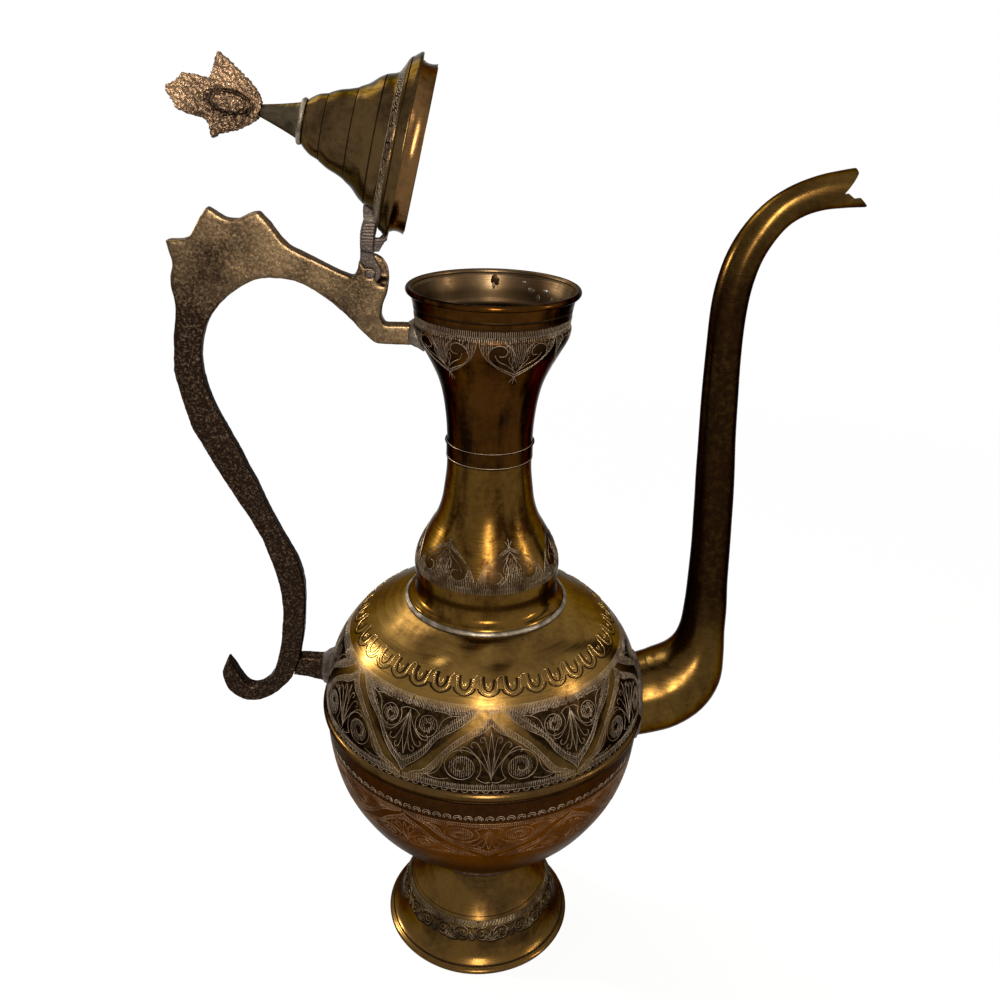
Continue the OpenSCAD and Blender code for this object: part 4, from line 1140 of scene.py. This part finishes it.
dress(dome, lid_brass, "lid", "turned_brass", "lid_dome")
leaf_row = []
for x in (-9.2, -4.6, 0, 4.6, 9.2):
    leaf_row += [[(a + x, b) for a, b in line] for line in (
        rounded([(-2.1, 0.3), (-1.2, 2.0), (0.4, 3.0), (1.9, 2.4)], 3),
        rounded([(-2.0, 0.2), (0.2, 0.5), (1.4, 1.6), (1.9, 2.4)], 3),
        [(-1.2, 0.8), (1.4, 2.2)], [(-2.2, 2.0), (-0.9, 3.1)], [(0.9, 0.0), (2.1, 1.2)])]
leaf_row += [[(-11.6, y), (11.6, y)] for y in (-0.5, 3.6)]
leaves = engraved("lid_band_strokes", leaf_row, dome_curve, 295.2, 22, LID_DENTS, width=0.3,
                  relief=0.05, body="lid", slot="turned_brass")
leaves.data.transform(swing)
# Near-black lines at the creases of the dome's steps: painted shade.
for number, (z, radius, wide) in enumerate((
        (293.9, 27, 0.8), (300.7, 21.5, 0.9), (308.4, 15, 0.8), (317.4, 10.5, 0.7)), 1):
    groove = ringed("lid_step_groove_%d" % number, dome_curve, z, radius, wide, LID_DENTS, "lid")
    groove.data.transform(swing)

# The skirt under the brim: a drawn ring that drops into the mouth and keeps the lid central.
# It is rubbed bright, because it goes in and out of the mouth.
SKIRT_GAP, SKIRT_BOW, SKIRT_TALL = 1.6, 0.5, 4.9
SKIRT_R = RIM_R - 2 * ROLL - SKIRT_GAP
skirt_curve = profile(
    ((1, -1), (0.78, -0.92), (0.22, -0.73), (0, -0.51), (0.22, -0.3), (1, -0.12), (1.6, 0)),
    SKIRT_R - SKIRT_BOW, SKIRT_R, BRIM_Z, BRIM_Z + SKIRT_TALL)
skirt = turned("lid_skirt_ring", walled(skirt_curve), 160)
skirt.data.transform(swing)
skirt_brass = brass("skirt_brass", (0.14, 0.072, 0.026), (0.03, 0.015, 0.006), 0.6, 45.0, 0.3, 0.16)
dress(skirt, skirt_brass, "lid", "turned_brass", "lid_skirt")

# The stem: a hollow cone of brass, turned smooth, which carries the finial. It stands on top of
# the dome and is held there by a ring of pale solder.
STEM_TOP_R, STEM_SPREAD, STEM_TALL = 2.0, 4.15, 13.2
stem_curve = rounded([(STEM_TOP_R + STEM_SPREAD * r, STEM_Z + STEM_TALL * z) for r, z in (
    (1, 0), (0.78, 0.18), (0.5, 0.45), (0.22, 0.75), (0, 1))], 4)
hollow_in = [(0, HAND_Z), (0, STEM_Z + 8), (stem_curve[0][0] - SHEET, STEM_Z)]
stem = turned("lid_stem_cone", stem_curve + hollow_in, 64)
stem.data.transform(swing)
stem_brass = brass("stem_brass", (0.09, 0.07, 0.042), (0.022, 0.016, 0.01), 0.8, 90.0, 0.2, 0.27)
dress(stem, stem_brass, "lid", "turned_brass", "lid_stem")

# The finial: a small open hand cast in brass, with a raised oval that a groove rings. Its face
# is stippled all over, bright on the grains and brown between them.
HAND_TALL = 30
OVAL_Z, OVAL_WIDE, OVAL_TALL = HAND_Z + 0.34 * HAND_TALL, 3.0, 5.8
GROOVE_AT, GROOVE_HALF, GROOVE_DEEP = 1.22, 0.22, 0.55
GRAIN = 0.9 * MM
hand = recast("hand_finial", "hand_finial_casting", 0.28)
hand.data.transform(swing.inverted())


def round_the_oval(spot):
    """How deep the groove round the oval is at this place, from 0 to 1."""
    reach = hypot(spot.x / OVAL_WIDE, (spot.z - OVAL_Z) / OVAL_TALL)
    return max(0.0, 1 - abs(reach - GROOVE_AT) / GROOVE_HALF)


# The groove's depth is also stored for the colour, where it makes the groove dark: painted shade.
painted_groove_shade = hand.data.attributes.new("hollow", "FLOAT", "POINT")
for vert, normal in skin_of(hand):
    groove = round_the_oval(vert.co / MM)
    grains = noise.cell(vert.co / GRAIN) * 0.1 + noise.noise(vert.co / GRAIN) * 0.5
    painted_groove_shade.data[vert.index].value = groove
    vert.co += normal * (grains - GROOVE_DEEP * groove * min(1.0, abs(normal.y) * 1.5)) * MM
hand.data.transform(swing)
hand_metal = finish("stippled_brass", cast, {
    "Rubbed": (0.21, 0.128, 0.072), "Patina": (0.022, 0.012, 0.008), "Speck": (0.75, 0.58, 0.41),
    "Rubbed From": 0.1, "Rubbed To": 0.4, "Grain Scale": 700.0, "Speck Amount": 0.8,
    "Roughness": 0.24}, 0.95, 1.0, 0.0005)
dress(hand, hand_metal, "lid", "hammered_brass", "hand_finial")
